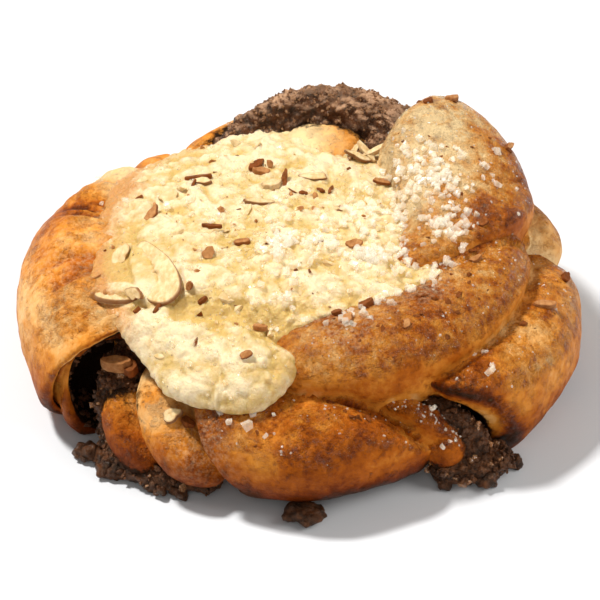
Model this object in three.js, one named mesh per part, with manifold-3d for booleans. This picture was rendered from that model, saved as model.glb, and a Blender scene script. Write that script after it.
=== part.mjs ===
// A cinnamon swirl: a knotted yeast bun with its cinnamon filling, a pool of baked custard,
// pearl sugar and almond flakes. Millimetres, +Z up. The origin is on the underside, below the
// middle of the bun, and the front of the bun faces -Y.

import * as THREE from "three";
import { mergeVertices } from "three/addons/utils/BufferGeometryUtils.js";
import Module from "manifold-3d";

const wasm = await Module();
wasm.setup();

// Driving dimensions
const GAP = 0.3; // clearance between two neighbouring pieces
const ROOM = 200; // larger than the bun, for the block that trims it at the table

// Facets
const STRAND_STEP = 8; // length of one facet along a strand
const STRAND_SIDES = 14;
const ROLL_SIDES = 10;
const CAP_STEPS = 3; // rows of facets over a rounded end
const USUAL_CAPS = [9, 9]; // how far a strand's two ends take to round off, where it gives none
const LENGTH_STEPS = 40; // steps in which a middle line is measured
const FLAKE_SIDES = 20;

// Superellipse powers: of a strand's squarish section and of the round of its ends; 2 is an ellipse
const SECTION_POWER = 2.3;
const END_POWER = 2.4;
// The bottom of a hollowed end: how far its middle lies below the floor's edge, the share of the
// section where the floor ends, and the share of the depth where the straight wall begins
const CUP_FLOOR = { dish: 2.5, share: 0.75, wall: 0.6 };

// The dough in the middle, below the custard: a disc with sloped edges
const CORE = { radius: 41, height: 26, edge: 6 };

// The dough strands. A station is [azimuth in degrees, radius, height, half width, half height]
// of the strand's middle line. caps: how far its two ends take to round off. cups: how deep its
// two ends are hollowed, with walls as thick as wall. lean: how far its cross-section is sheared
// along the strand for each millimetre outward and upward, which slants its ends and seams; it
// changes to leanEnd by the far end, where that is given.
const BASE_STRANDS = [
  { // the smooth shell of dough on the left, with the hollow of the knot in its front end
    stations: [[106, 40, 13.5, 11, 12], [130, 41, 14.5, 12, 13.5], [155, 42.8, 15.8, 13.6, 15],
      [182, 44.8, 16, 15, 15.5], [211.4, 45, 13.2, 14.8, 15.9]],
    caps: [10, 3], cups: [0, 10], wall: 2.6, leanEnd: [-0.1, 0.2],
  },
  { // the second layer of dough inside the shell
    stations: [[185, 45, 13.5, 11.5, 12.8], [198, 46.2, 12.6, 11, 13], [211.5, 46.6, 11.6, 10.6, 13.2]],
    cups: [0, 10], wall: 3.6, lean: [0, -0.12],
  },
  { // first roll in front of the hollow
    stations: [[216, 41, 13, 4.6, 4.6], [222, 48.4, 11.4, 4.6, 4.8], [227.5, 50.2, 7.6, 4.8, 5],
      [236.5, 50.4, 4.4, 4.6, 4.6]],
    caps: [5, 5], sides: ROLL_SIDES,
  },
  { // second roll
    stations: [[227, 36, 14, 8, 6], [233.5, 43.3, 15, 8.2, 6.4], [242, 46.8, 9.8, 8.4, 6.4],
      [252, 44.8, 4.6, 7, 4.6]],
    caps: [6, 6], sides: ROLL_SIDES,
  },
  { // the broad front strand
    stations: [[251, 40.5, 11.3, 12.6, 11], [259, 41.2, 11.3, 13, 11.2], [271, 42, 11.2, 13.6, 11.2],
      [285, 40.3, 11.8, 13.2, 11.2], [303, 39.5, 12, 12.6, 10]],
    caps: [3.5, 3.5], lean: [0, -0.9],
  },
  { // the roll that the front strand runs over
    stations: [[291, 37, 17, 4.6, 5], [298, 43.6, 15.2, 4.7, 5.3], [303.8, 48.4, 10.2, 4.7, 5.2],
      [308.6, 51.6, 4.6, 4.5, 4.6]],
    caps: [5, 5], sides: ROLL_SIDES,
  },
  { // the strand on the right, with the thick rim of a fold at its front end
    stations: [[309, 42.6, 8.2, 13.5, 15.8], [319, 43.4, 10.6, 14.2, 14.4],
      [331, 44.6, 12.6, 14.7, 13], [345, 45.2, 13, 14.5, 13], [361, 44.8, 13, 14, 12],
      [373, 43, 13, 12, 11]],
    caps: [4, 9], cups: [8, 0], wall: 6.2, lean: [1.05, -0.2], leanEnd: [0, -0.3],
  },
  { // the short strand behind it
    stations: [[366, 44, 17.5, 11, 9], [375, 45.3, 18, 12.7, 9.5], [388, 44.5, 16, 13, 11],
      [402, 43, 13, 12, 11]],
    caps: [8, 8],
  },
  { // two strands at the back
    stations: [[395, 41, 12, 13, 11], [410, 43, 12, 13.5, 11.5], [427, 43, 12, 13.5, 11.5],
      [444, 42, 12, 13, 11]],
    caps: [5, 5], lean: [0, -0.7],
  },
  {
    stations: [[436, 41, 12, 13, 11], [450, 42, 12, 13.5, 12], [464, 41, 12, 13, 12],
      [478, 40, 12, 12, 11]],
    caps: [5, 5], lean: [0, -0.7],
  },
  { // the thin wall of dough behind the filling
    stations: [[412, 43, 21, 7, 11], [435, 44.5, 23, 6, 12], [456, 44, 23, 6, 12],
      [475, 42.5, 20.5, 6, 11], [493, 41, 15.5, 6, 10]],
    caps: [9, 9], sides: ROLL_SIDES,
  },
];
const UPPER_STRANDS = [
  { // the strand that crosses the front of the custard
    stations: [[252, 28, 16, 9, 9], [272, 31, 20.5, 10.5, 10.5], [294, 33.5, 22.5, 11.5, 11.5],
      [318, 35.5, 23, 11.5, 11.5], [343, 37.3, 23.5, 11.3, 11], [364, 38, 23, 11, 10.5]],
    caps: [9, 4],
  },
  { // the high strand on the right, its lower edge a slanted fold
    stations: [[341, 35.5, 28, 15, 8], [360, 35.5, 28, 15.5, 10.5], [380, 36.2, 29.2, 16, 13.4],
      [400, 38.6, 30.4, 14.7, 14.6], [416, 39.8, 30.6, 12.6, 13.4]],
    caps: [6, 6], lean: [1.2, 0], leanEnd: [0, 0],
  },
  { // the end of the knot, behind the custard
    stations: [[62, 32, 28, 7, 7], [79, 32.5, 29, 8.5, 8], [97, 31.5, 28, 8, 7]],
    caps: [7, 7], sides: ROLL_SIDES,
  },
];

// The filling: a band wound right through the bun, and what wells out of it
const BAND = { radius: 34, low: 4, high: 19, thick: 2.6, steps: 40 };
const FILLING_STRANDS = [
  { // the thick rim at the back
    stations: [[402, 37, 29, 7, 12], [430, 40, 29.6, 6, 13], [452, 40.3, 27.7, 5.5, 13],
      [468, 38.8, 23.5, 5.5, 10.5], [480, 37.5, 18, 5, 8]],
    caps: [9, 9], sides: ROLL_SIDES,
  },
  { // the coating over the first roll, inside the hollow
    stations: [[208, 34, 17, 4.5, 4.5], [216.5, 46, 14.5, 4.4, 4.2], [219, 49.4, 8.8, 3.2, 3.4],
      [221, 50.8, 3.8, 3, 3]],
    caps: [4, 4], sides: ROLL_SIDES,
  },
  { // the dark roll under the rim of the right-hand fold
    stations: [[302, 33, 13, 4, 4.5], [308, 44, 13.2, 3.6, 3.9], [311.2, 49.8, 9.6, 3.6, 3.8],
      [314, 52.4, 4.2, 3.6, 3.6]],
    caps: [4, 4], sides: ROLL_SIDES,
  },
  { // what has run out under the rolls on the left
    stations: [[218, 34, 6, 4, 3.5], [221, 48, 3.4, 4.5, 3], [228, 51, 2.6, 4.5, 2.6],
      [239, 49.5, 2.4, 4, 2.4], [250, 47.5, 2.4, 3, 2]],
    caps: [4, 4], sides: ROLL_SIDES,
  },
  { // and on the right
    stations: [[303, 49, 3, 4, 2.6], [308, 51, 3, 4.4, 2.8], [314, 54, 3, 4.4, 2.8],
      [320, 55.5, 2.8, 3.4, 2.4]],
    caps: [4, 4], sides: ROLL_SIDES,
  },
];
// Crumbs of filling along the outer edge of those two runs, in stretches: azimuth range, radius,
// size, number
const CRUMB_RUNS = [
  { from: 217, to: 228, radius: 55.6, size: 1.9, count: 9 },
  { from: 228, to: 244, radius: 53.8, size: 1.7, count: 10 },
  { from: 304, to: 310, radius: 54.4, size: 1.7, count: 5 },
  { from: 310, to: 321, radius: 57.6, size: 1.7, count: 8 },
];
// A crumb lies from inward of its run's radius to outward of it, and is moved along the run by
// up to this share of the step; it has from least to least + more of the run's size, and its
// middle is this share of its size above the table
const CRUMB_SPREAD = { inward: 3.2, outward: 0.4, step: 0.7, least: 0.75, more: 0.5, middle: 0.7 };
const FRONT_CRUMB = { azimuth: 271, radius: 53.5, size: 3.4, stretch: [1.4, 1, 0.8], middle: 0.5 };

// The custard: a shallow body round a middle of its own. reach and rim give the radius and the
// height of its edge at equal turns from +X, counter-clockwise.
const CUSTARD = {
  middle: [-8, -5],
  reach: [36.5, 37.5, 40, 38, 41.5, 40.5, 41, 37.5, 36, 37.5, 35, 39.5, 39, 27.3, 30, 36],
  rim: [36.5, 37, 36.5, 35.5, 34.5, 33, 32, 32, 32, 32, 29, 25, 25, 32.5, 34, 36],
  top: 36.5,
  floor: 22,
  lip: 2.6, // radius of its rounded edge
  lump: 0.7, // height of its swells
  waves: [5.1, 6.3], // radians of swell from its middle to its edge, to the right and to the back
  phase: [1, -0.4], // radians of swell at its middle
  still: 6, // power with which the swells die away towards its edge
  fall: 3, // power of the slope from its top to its rim
  sides: 44,
  rings: 7,
  turns: [45, 90, 135, 180], // degrees at which the rounded edge has a row
  under: [0.66, 0.33, 0], // shares at which the underside has a row
};

// Almond flakes on the custard: place, half length, half width, heading and tilt in degrees
const FLAKE_THICK = 1.2;
const FLAKE_SUNK = 0.3;
const FLAKE_TAPER = 0.28; // how much narrower and fuller its two ends are
const FLAKES = {
  almond_flake_large: { at: [-29.4, -16.4], half: [10.2, 4.2], heading: 109, tilt: [-8, 2] },
  almond_flake_small: { at: [-37.6, -20.4], half: [4.5, 2.6], heading: -18, tilt: [6, 3] },
};

// Toppings fused to what they lie on, in patches of the given number: place and half extent
const SUGAR = 1.15; // half a crystal's edge
const NUT_STRETCH = [1.4, 0.8, 0.6];
const NUT = 1.7; // half the length of a nut bit
const SUGAR_PATCHES = [
  { at: [16, 4], spread: [9, 12], count: 18 },
  { at: [2, 2], spread: [7, 9], count: 9 },
  { at: [4, -18], spread: [7, 6], count: 6 },
];
const NUT_PATCH = { at: [-10, 4], spread: [24, 22], count: 16 };
const SLIVERS = { at: [12.5, 26], spread: [4.5, 2], count: 5, size: [0.6, 1, 7], lift: 1, turn: 1 };
const UNEVEN = { least: 0.8, more: 0.4 }; // a topping's edges as shares of its size
// Sugar on the crown of the high strand, the second of the upper ones: shares of its length,
// degrees round its section
const HIGH_STRAND = 1;
const CROWN_SUGAR = { along: [0.2, 0.7], round: [70, 120], count: 26 };
const SEED = 7;

const DEGREE = Math.PI / 180;
const SLOPE_STEP = 1e-3; // share of a middle line over which its direction is measured
const SAME_POINT = 1e-4; // points nearer than this are one
const TOUCH_VOLUME = 1e-6; // pieces that share more than this touch

// A repeatable stream of numbers in 0..1
function randomFrom(seed) {
  let state = seed;
  return () => {
    state = (state * 1664525 + 1013904223) % 4294967296;
    return state / 4294967296;
  };
}

// The station at t in 0..1, on a Catmull-Rom curve through the table
function stationAt(stations, t) {
  const last = stations.length - 1;
  const index = Math.min(Math.max(Math.floor(t * last), 0), last - 1);
  const f = t * last - index;
  const here = stations[index];
  const next = stations[index + 1];
  const before = stations[index - 1] ?? here.map((v, k) => 2 * v - next[k]);
  const after = stations[index + 2] ?? next.map((v, k) => 2 * v - here[k]);
  return here.map((v, k) => 0.5 * (2 * v + (next[k] - before[k]) * f
    + (2 * before[k] - 5 * v + 4 * next[k] - after[k]) * f ** 2
    + (3 * v - before[k] - 3 * next[k] + after[k]) * f ** 3));
}

// The middle line of a strand at t
function middleAt(stations, t) {
  const [azimuth, radius, height] = stationAt(stations, t);
  const turn = azimuth * DEGREE;
  return new THREE.Vector3(radius * Math.cos(turn), radius * Math.sin(turn), height);
}

// The length of a strand's middle line
function lengthOf(stations) {
  let length = 0;
  for (let i = 0; i < LENGTH_STEPS; i += 1) {
    const next = middleAt(stations, (i + 1) / LENGTH_STEPS);
    length += middleAt(stations, i / LENGTH_STEPS).distanceTo(next);
  }
  return length;
}

// The rows of one end, from the end inwards: [distance in, share of the section, inset].
// A cap rounds off. A cup turns over a lip and runs back to a floor inside.
function endRows(cap, cup, wall) {
  const power = 2 / END_POWER;
  const turns = [...Array(CAP_STEPS + 1).keys()].map((i) => i / CAP_STEPS);
  if (cup === 0) {
    return turns.map((f) => {
      const a = f * Math.PI / 2;
      return [cap * (1 - Math.cos(a) ** power), Math.sin(a) ** power, 0];
    });
  }
  const lip = wall / 2;
  const { dish, share, wall: straight } = CUP_FLOOR;
  const inside = [[cup + dish, 0, 0], [cup, share, 0], [cup * straight, 1, wall]];
  const over = turns.map((f) => {
    const a = (f - 0.5) * Math.PI;
    return [lip * (1 - Math.cos(a)), 1, lip * (1 - Math.sin(a))];
  });
  return [...inside, ...over];
}

// The point on a strand's surface at row [distance, share, inset] and angle round the section.
// A lean moves the point to a section further along the strand.
function strandPoint(strand, length, row, angle, grow) {
  const [distance, share, inset] = row;
  const [, , , wide, high] = stationAt(strand.stations, distance / length);
  const lean = strand.lean ?? [0, 0];
  const [leanOut, leanUp] = lean.map((v, k) => v + ((strand.leanEnd ?? lean)[k] - v) * distance / length);
  const power = 2 / SECTION_POWER;
  const [cos, sin] = [Math.cos(angle), Math.sin(angle)];
  const u = (wide + grow - inset) * share * Math.sign(cos) * Math.abs(cos) ** power;
  const v = (high + grow - inset) * share * Math.sign(sin) * Math.abs(sin) ** power;
  const t = (distance + leanOut * u + leanUp * v) / length;
  const ahead = middleAt(strand.stations, t + SLOPE_STEP);
  const along = ahead.sub(middleAt(strand.stations, t - SLOPE_STEP)).normalize();
  const side = along.clone().cross(new THREE.Vector3(0, 0, 1)).normalize();
  const up = side.clone().cross(along);
  return middleAt(strand.stations, t).addScaledVector(side, u).addScaledVector(up, v);
}

// A closed surface through loops of points, the first and the last loop shut to a point
function loft(loops) {
  const sides = loops[0].length;
  const mean = (loop) => loop.reduce((sum, p) => sum.add(p), new THREE.Vector3()).divideScalar(sides);
  const points = [mean(loops[0]), ...loops.slice(1, -1).flat(), mean(loops.at(-1))];
  const end = points.length - 1;
  const index = [];
  for (let k = 0; k < sides; k += 1) {
    const next = (k + 1) % sides;
    index.push(0, 1 + k, 1 + next);
    for (let row = 0; row < loops.length - 3; row += 1) {
      const a = 1 + row * sides;
      const b = a + sides;
      index.push(a + k, b + k, b + next, a + k, b + next, a + next);
    }
    index.push(end, end - sides + next, end - sides + k);
  }
  const geometry = new THREE.BufferGeometry();
  geometry.setAttribute("position", new THREE.Float32BufferAttribute(points.flatMap((p) => p.toArray()), 3));
  geometry.setIndex(index);
  return geometry;
}

// A three.js geometry as a solid
function solidOf(geometry) {
  const bare = geometry.clone();
  bare.deleteAttribute("normal");
  bare.deleteAttribute("uv");
  const merged = mergeVertices(bare, SAME_POINT);
  return new wasm.Manifold(new wasm.Mesh({
    numProp: 3,
    vertProperties: new Float32Array(merged.attributes.position.array),
    triVerts: new Uint32Array(merged.index.array),
  }));
}

function strandSolid(strand, grow = 0) {
  const length = lengthOf(strand.stations);
  const sides = strand.sides ?? STRAND_SIDES;
  const [capStart, capEnd] = strand.caps ?? USUAL_CAPS;
  const [cupStart, cupEnd] = strand.cups ?? [0, 0];
  const start = endRows(capStart, cupStart, strand.wall);
  const end = endRows(capEnd, cupEnd, strand.wall).reverse();
  const from = start.at(-1)[0];
  const to = length - end[0][0];
  const steps = Math.max(1, Math.round((to - from) / STRAND_STEP));
  const rows = start.map(([d, share, inset]) => [d - grow, share, inset]);
  for (let i = 1; i < steps; i += 1) {
    rows.push([from + (to - from) * i / steps, 1, 0]);
  }
  rows.push(...end.map(([d, share, inset]) => [length - d + grow, share, inset]));
  const angles = [...Array(sides).keys()].map((k) => k * 2 * Math.PI / sides);
  return solidOf(loft(rows.map((row) => angles.map((a) => strandPoint(strand, length, row, a, grow)))));
}

const union = (solids) => solids.reduce((sum, solid) => sum.add(solid));
const strandUnion = (strands, grow = 0) => union(strands.map((strand) => strandSolid(strand, grow)));

// A value at an angle, on a closed curve through values at equal turns
function roundTable(values, angle) {
  const count = values.length;
  const x = ((angle / (2 * Math.PI)) % 1 + 1) % 1 * count;
  const i = Math.floor(x) % count;
  const f = x - Math.floor(x);
  const [p0, p1, p2, p3] = [-1, 0, 1, 2].map((k) => values[(i + k + count) % count]);
  return 0.5 * (2 * p1 + (p2 - p0) * f + (2 * p0 - 5 * p1 + 4 * p2 - p3) * f ** 2
    + (3 * p1 - p0 - 3 * p2 + p3) * f ** 3);
}

// Height of the custard's top, share 0..1 of the way from its middle to its rounded edge
function custardTop(share, angle) {
  const [x, y] = [share * Math.cos(angle), share * Math.sin(angle)];
  const [right, back] = CUSTARD.waves;
  const [across, deep] = CUSTARD.phase;
  const level = CUSTARD.lump * (1 - share ** CUSTARD.still);
  const swell = level * Math.sin(right * x + across) * Math.cos(back * y + deep);
  const fall = (roundTable(CUSTARD.rim, angle) - CUSTARD.top) * share ** CUSTARD.fall;
  return CUSTARD.top + fall + swell;
}

// The custard's top at a place given in millimetres
function custardHeight(x, y) {
  const [dx, dy] = [x - CUSTARD.middle[0], y - CUSTARD.middle[1]];
  const angle = Math.atan2(dy, dx);
  const flat = roundTable(CUSTARD.reach, angle) - CUSTARD.lip;
  return custardTop(Math.min(1, Math.hypot(dx, dy) / flat), angle);
}

function custardSolid(grow = 0) {
  const lip = CUSTARD.lip;
  const rows = [];
  for (let i = 0; i <= CUSTARD.rings; i += 1) {
    rows.push({ share: i / CUSTARD.rings, out: 0, drop: 0 });
  }
  for (const turn of CUSTARD.turns) {
    const a = turn * DEGREE;
    rows.push({ share: 1, out: Math.sin(a), drop: 1 - Math.cos(a) });
  }
  const loops = rows.map(({ share, out, drop }) => loopOf(CUSTARD.sides, (angle) => {
    const flat = roundTable(CUSTARD.reach, angle) - lip;
    const z = custardTop(share, angle) + grow - (lip + grow) * drop;
    return polar(flat * share + (lip + grow) * out, angle, z);
  }));
  const under = CUSTARD.under.map((share) => loopOf(CUSTARD.sides, (angle) => {
    const flat = roundTable(CUSTARD.reach, angle) - lip;
    const edge = roundTable(CUSTARD.rim, angle) - 2 * lip;
    const z = Math.min(edge, CUSTARD.floor) + (edge - Math.min(edge, CUSTARD.floor)) * share ** 2;
    return polar(flat * share, angle, z - grow);
  }));
  return solidOf(loft([...loops, ...under]));
}

function polar(radius, angle, z) {
  const [x, y] = CUSTARD.middle;
  return new THREE.Vector3(x + radius * Math.cos(angle), y + radius * Math.sin(angle), z);
}

function loopOf(sides, pointAt) {
  return [...Array(sides).keys()].map((k) => pointAt(k * 2 * Math.PI / sides));
}

function coreSolid() {
  const { radius, height, edge } = CORE;
  const profile = [[0, 0], [radius - edge / 2, 0], [radius, edge / 2], [radius, height - edge],
    [radius - edge, height], [0, height]].map(([out, z]) => new THREE.Vector2(out, z));
  const disc = new THREE.LatheGeometry(profile, BAND.steps);
  disc.rotateX(Math.PI / 2);
  return solidOf(disc);
}

// The filling's band, a ring with a narrow upright section
function bandSolid(grow = 0) {
  const half = BAND.thick / 2 + grow;
  const [low, high] = [BAND.low - grow, BAND.high + grow];
  const profile = [[-half, low], [half, low], [half, high], [-half, high], [-half, low]]
    .map(([out, z]) => new THREE.Vector2(BAND.radius + out, z));
  const ring = new THREE.LatheGeometry(profile, BAND.steps);
  ring.rotateX(Math.PI / 2);
  return solidOf(ring);
}

// A rough lump, an icosahedron squashed and turned at random
function lump(size, place, random, stretch = [1, 1, 1], grow = 0) {
  const geometry = new THREE.IcosahedronGeometry(size + grow, 0);
  geometry.scale(...stretch.map((s) => s * (UNEVEN.least + UNEVEN.more * random())));
  geometry.rotateX(random() * Math.PI);
  geometry.rotateZ(random() * Math.PI);
  geometry.translate(...place);
  return solidOf(geometry);
}

// The crumbs of both runs, the same every time they are made
function crumbs(grow = 0) {
  const random = randomFrom(SEED);
  const { inward, outward, step, least, more, middle } = CRUMB_SPREAD;
  const lumps = [];
  for (const run of CRUMB_RUNS) {
    for (let i = 0; i < run.count; i += 1) {
      const turn = (run.from + (run.to - run.from) * (i + random() * step) / run.count) * DEGREE;
      const radius = run.radius - inward + (inward + outward) * random();
      const size = run.size * (least + more * random());
      const place = [radius * Math.cos(turn), radius * Math.sin(turn), size * middle];
      lumps.push(lump(size, place, random, [1, 1, 1], grow));
    }
  }
  return union(lumps);
}

function frontCrumb(random) {
  const { azimuth, radius, size, stretch, middle } = FRONT_CRUMB;
  const turn = azimuth * DEGREE;
  const place = [radius * Math.cos(turn), radius * Math.sin(turn), size * middle];
  return lump(size, place, random, stretch);
}

// The pieces that touch no neighbour, as one solid
function clearOf(pieces, neighbours) {
  return union(pieces.filter((piece) => piece.intersect(neighbours).volume() < TOUCH_VOLUME));
}

// A block turned at random: a crystal of sugar, or a sliver of almond
function block(size, place, random, turn = Math.PI) {
  const edges = size.map((edge) => edge * (UNEVEN.least + UNEVEN.more * random()));
  const geometry = new THREE.BoxGeometry(...edges);
  geometry.rotateX(turn * (random() - 0.5));
  geometry.rotateY(turn * (random() - 0.5));
  geometry.rotateZ(random() * Math.PI);
  geometry.translate(...place);
  return solidOf(geometry);
}

// Places on the custard's top, at random in a patch
function placesIn({ at, spread, count }, random) {
  return [...Array(count).keys()].map(() => {
    const [x, y] = at.map((v, k) => v + spread[k] * (2 * random() - 1));
    return [x, y, custardHeight(x, y)];
  });
}

function custardToppings(random, neighbours) {
  const crystals = SUGAR_PATCHES.flatMap((patch) => placesIn(patch, random))
    .map((place) => block([2 * SUGAR, 2 * SUGAR, 2 * SUGAR], place, random));
  const bits = placesIn(NUT_PATCH, random)
    .map((place) => lump(NUT, place, random, NUT_STRETCH));
  const slivers = placesIn(SLIVERS, random)
    .map(([x, y, z]) => block(SLIVERS.size, [x, y, z + SLIVERS.lift], random, SLIVERS.turn));
  return clearOf([...crystals, ...bits, ...slivers], neighbours);
}

// Sugar on the crown of the high strand
function crownToppings(random, neighbours) {
  const { along, round, count } = CROWN_SUGAR;
  const strand = UPPER_STRANDS[HIGH_STRAND];
  const length = lengthOf(strand.stations);
  const pick = ([low, high]) => low + (high - low) * random();
  const crystals = [...Array(count).keys()].map(() => {
    const place = strandPoint(strand, length, [length * pick(along), 1, 0], pick(round) * DEGREE, 0);
    return block([2 * SUGAR, 2 * SUGAR, 2 * SUGAR], place.toArray(), random);
  });
  return clearOf(crystals, neighbours);
}

// An almond flake: a thin blade, fuller at one end
function flakeSolid({ at, half, heading, tilt }, grow = 0) {
  const outline = new THREE.Shape(loopOf(FLAKE_SIDES, (angle) => new THREE.Vector2(
    (half[0] + grow) * Math.cos(angle),
    (half[1] + grow) * Math.sin(angle) * (1 - FLAKE_TAPER * Math.cos(angle)),
  )));
  const geometry = new THREE.ExtrudeGeometry(outline, { depth: FLAKE_THICK + 2 * grow, bevelEnabled: false });
  geometry.translate(0, 0, -grow);
  geometry.rotateX(tilt[0] * DEGREE);
  geometry.rotateY(tilt[1] * DEGREE);
  geometry.rotateZ(heading * DEGREE);
  geometry.translate(at[0], at[1], custardHeight(...at) - FLAKE_SUNK);
  return solidOf(geometry);
}

// Everything above the table
function tableBlock() {
  const block = new THREE.BoxGeometry(ROOM, ROOM, ROOM);
  block.translate(0, 0, ROOM / 2);
  return solidOf(block);
}

function largestBody(solid) {
  const bodies = solid.decompose();
  return bodies.reduce((best, body) => (body.volume() > best.volume() ? body : best));
}

function meshOf(name, solid, material) {
  const { vertProperties, triVerts } = solid.getMesh();
  const geometry = new THREE.BufferGeometry();
  geometry.setAttribute("position", new THREE.BufferAttribute(vertProperties, 3));
  geometry.setIndex(new THREE.BufferAttribute(triVerts, 1));
  geometry.computeVertexNormals();
  const mesh = new THREE.Mesh(geometry, material);
  mesh.name = name;
  return mesh;
}

const finish = (color, roughness) => new THREE.MeshStandardMaterial({ color, roughness, metalness: 0 });

function swirl() {
  const random = randomFrom(SEED);
  const aboveTable = tableBlock();
  const custardRoom = custardSolid(GAP);
  const upperRoom = strandUnion(UPPER_STRANDS, GAP);
  const baseRoom = strandUnion(BASE_STRANDS, GAP);
  const fillingRoom = union([bandSolid(GAP), strandUnion(FILLING_STRANDS, GAP), crumbs(GAP)]);
  const flakes = Object.entries(FLAKES);
  const flakeRoom = union(flakes.map(([, flake]) => flakeSolid(flake, GAP)));

  const toppings = custardToppings(random, union([upperRoom, baseRoom, flakeRoom]));
  const custard = custardSolid().subtract(upperRoom).subtract(flakeRoom).add(toppings);
  const filling = union([bandSolid(), strandUnion(FILLING_STRANDS), crumbs()])
    .subtract(upperRoom).subtract(custardRoom).intersect(aboveTable);
  const lower = strandUnion(BASE_STRANDS).add(coreSolid()).subtract(custardRoom);
  const dough = lower.subtract(fillingRoom).add(strandUnion(UPPER_STRANDS))
    .add(crownToppings(random, union([custardRoom, toppings, fillingRoom])))
    .add(frontCrumb(random)).intersect(aboveTable);

  const group = new THREE.Group();
  group.add(meshOf("dough", largestBody(dough), finish(0xc98a48, 0.55)));
  group.add(meshOf("cinnamon_filling", largestBody(filling), finish(0x3a1c0e, 0.7)));
  group.add(meshOf("custard", largestBody(custard), finish(0xf6e3b4, 0.5)));
  for (const [name, flake] of flakes) {
    group.add(meshOf(name, flakeSolid(flake), finish(0xf1dcae, 0.6)));
  }
  return group;
}

export default swirl();
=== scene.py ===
import logging
import math
from dataclasses import dataclass, field
from enum import Enum
from typing import Any

import bpy
import numpy as np
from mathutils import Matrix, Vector


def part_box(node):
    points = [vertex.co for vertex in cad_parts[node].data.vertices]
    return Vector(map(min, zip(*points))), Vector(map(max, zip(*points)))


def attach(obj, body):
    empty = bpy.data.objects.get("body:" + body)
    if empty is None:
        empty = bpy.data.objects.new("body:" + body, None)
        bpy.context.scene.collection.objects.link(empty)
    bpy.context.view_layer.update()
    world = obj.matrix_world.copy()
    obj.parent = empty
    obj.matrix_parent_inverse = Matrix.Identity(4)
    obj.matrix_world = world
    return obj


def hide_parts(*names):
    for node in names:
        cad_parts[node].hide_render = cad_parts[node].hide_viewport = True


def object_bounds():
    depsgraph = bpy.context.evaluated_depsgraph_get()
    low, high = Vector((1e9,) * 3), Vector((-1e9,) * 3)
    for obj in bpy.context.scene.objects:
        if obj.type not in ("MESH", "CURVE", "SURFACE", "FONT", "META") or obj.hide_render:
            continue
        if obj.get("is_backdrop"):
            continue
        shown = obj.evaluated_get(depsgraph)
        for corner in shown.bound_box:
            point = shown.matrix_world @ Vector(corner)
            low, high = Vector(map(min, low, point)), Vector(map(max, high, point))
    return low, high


# The looks of a cinnamon swirl: a knotted yeast bun with cinnamon filling, a pool of baked
# custard, sugar crystals and almonds. Shapes are worked out in millimetres, in the frame of the
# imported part, and become metres when they are put into a mesh.

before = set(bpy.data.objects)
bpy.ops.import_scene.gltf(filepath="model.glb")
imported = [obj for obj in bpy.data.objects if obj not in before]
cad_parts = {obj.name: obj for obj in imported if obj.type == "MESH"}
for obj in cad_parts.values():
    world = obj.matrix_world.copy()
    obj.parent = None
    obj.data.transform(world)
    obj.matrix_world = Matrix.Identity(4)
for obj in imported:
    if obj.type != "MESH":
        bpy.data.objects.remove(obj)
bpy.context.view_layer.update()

MM = 0.001
SECTION_POWER = 2.3  # of a strand's squarish oval section; 2 is an ellipse
END_POWER = 2.4  # of the round of its ends
GRAIN = 0.62  # distance between neighbouring points of a strand's skin
PASTE_GRAIN = 0.42  # and of the filling's
END_ROWS = 9  # fewest rows over a strand's end
CUP_DISH = 2.5  # how far the floor of a hollowed end is dished
CUP_EDGE = 0.5  # how far the floor's edge stands forward

CELL_FACTORS = (374761393, 668265263, 2246822519)  # large odd numbers, one for each coordinate
SEED_RULE = (40503, 977)  # a seed is multiplied by the first, and the second is added
BIT_MIXES = ((13, 1274126177), (15, 2654435761))  # shift and factor of each mixing of the bits
SWELL_SHIFT = 31.7  # cells that a seed moves the pattern of the swells by
PEBBLE_SHIFT = 13.1  # and that of the pebbles
DRAW_RULE = (1664525, 1013904223, 4294967296)  # factor, step and range of the crumbs' draws

Rgb = tuple[float, float, float]  # a screen colour, 0 to 255
Spots = tuple[tuple[float, float, float, float], ...]  # x, y, spread and amount of each
Triple = tuple[float, float, float]
Value = Any  # what a socket takes: a number, a colour or the output of a node

LOG = logging.getLogger("swirl")


# Curves and noise

def curve_through(table: np.ndarray, share: np.ndarray) -> np.ndarray:
    """Follow a Catmull-Rom curve through the rows of a table.

    Each stretch is the cubic whose slope at a row is half the step between its neighbours; the
    table is carried on in a straight line at both ends.

    Args:
        table: The rows, (count, values).
        share: Where on the curve, 0 at the first row and 1 at the last.

    Returns:
        The values there, (shares, values).
    """
    last = len(table) - 1
    place = np.clip(share, -0.5, 1.5) * last
    row = np.clip(np.floor(place).astype(int), 0, last - 1)
    t = (place - row)[:, None]
    b = table[row]
    c = table[row + 1]
    a = np.where((row > 0)[:, None], table[np.maximum(row - 1, 0)], 2 * b - c)
    d = np.where((row + 2 <= last)[:, None], table[np.minimum(row + 2, last)], 2 * c - b)
    bend = (2 * a - 5 * b + 4 * c - d) * t**2 + (3 * b - a - 3 * c + d) * t**3
    return 0.5 * (2 * b + (c - a) * t + bend)


def curve_round(values: tuple[float, ...], angle: np.ndarray) -> np.ndarray:
    """Follow a closed Catmull-Rom curve through values at equal turns.

    Args:
        values: The values, the first at angle 0.
        angle: Angles in radians.

    Returns:
        The value at each angle.
    """
    table = np.array([*values[-2:], *values, *values[:3]])[:, None]
    turn = (angle / math.tau) % 1.0
    share = (turn * len(values) + 2) / (len(table) - 1)
    return curve_through(table, share.ravel()).reshape(angle.shape)


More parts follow.
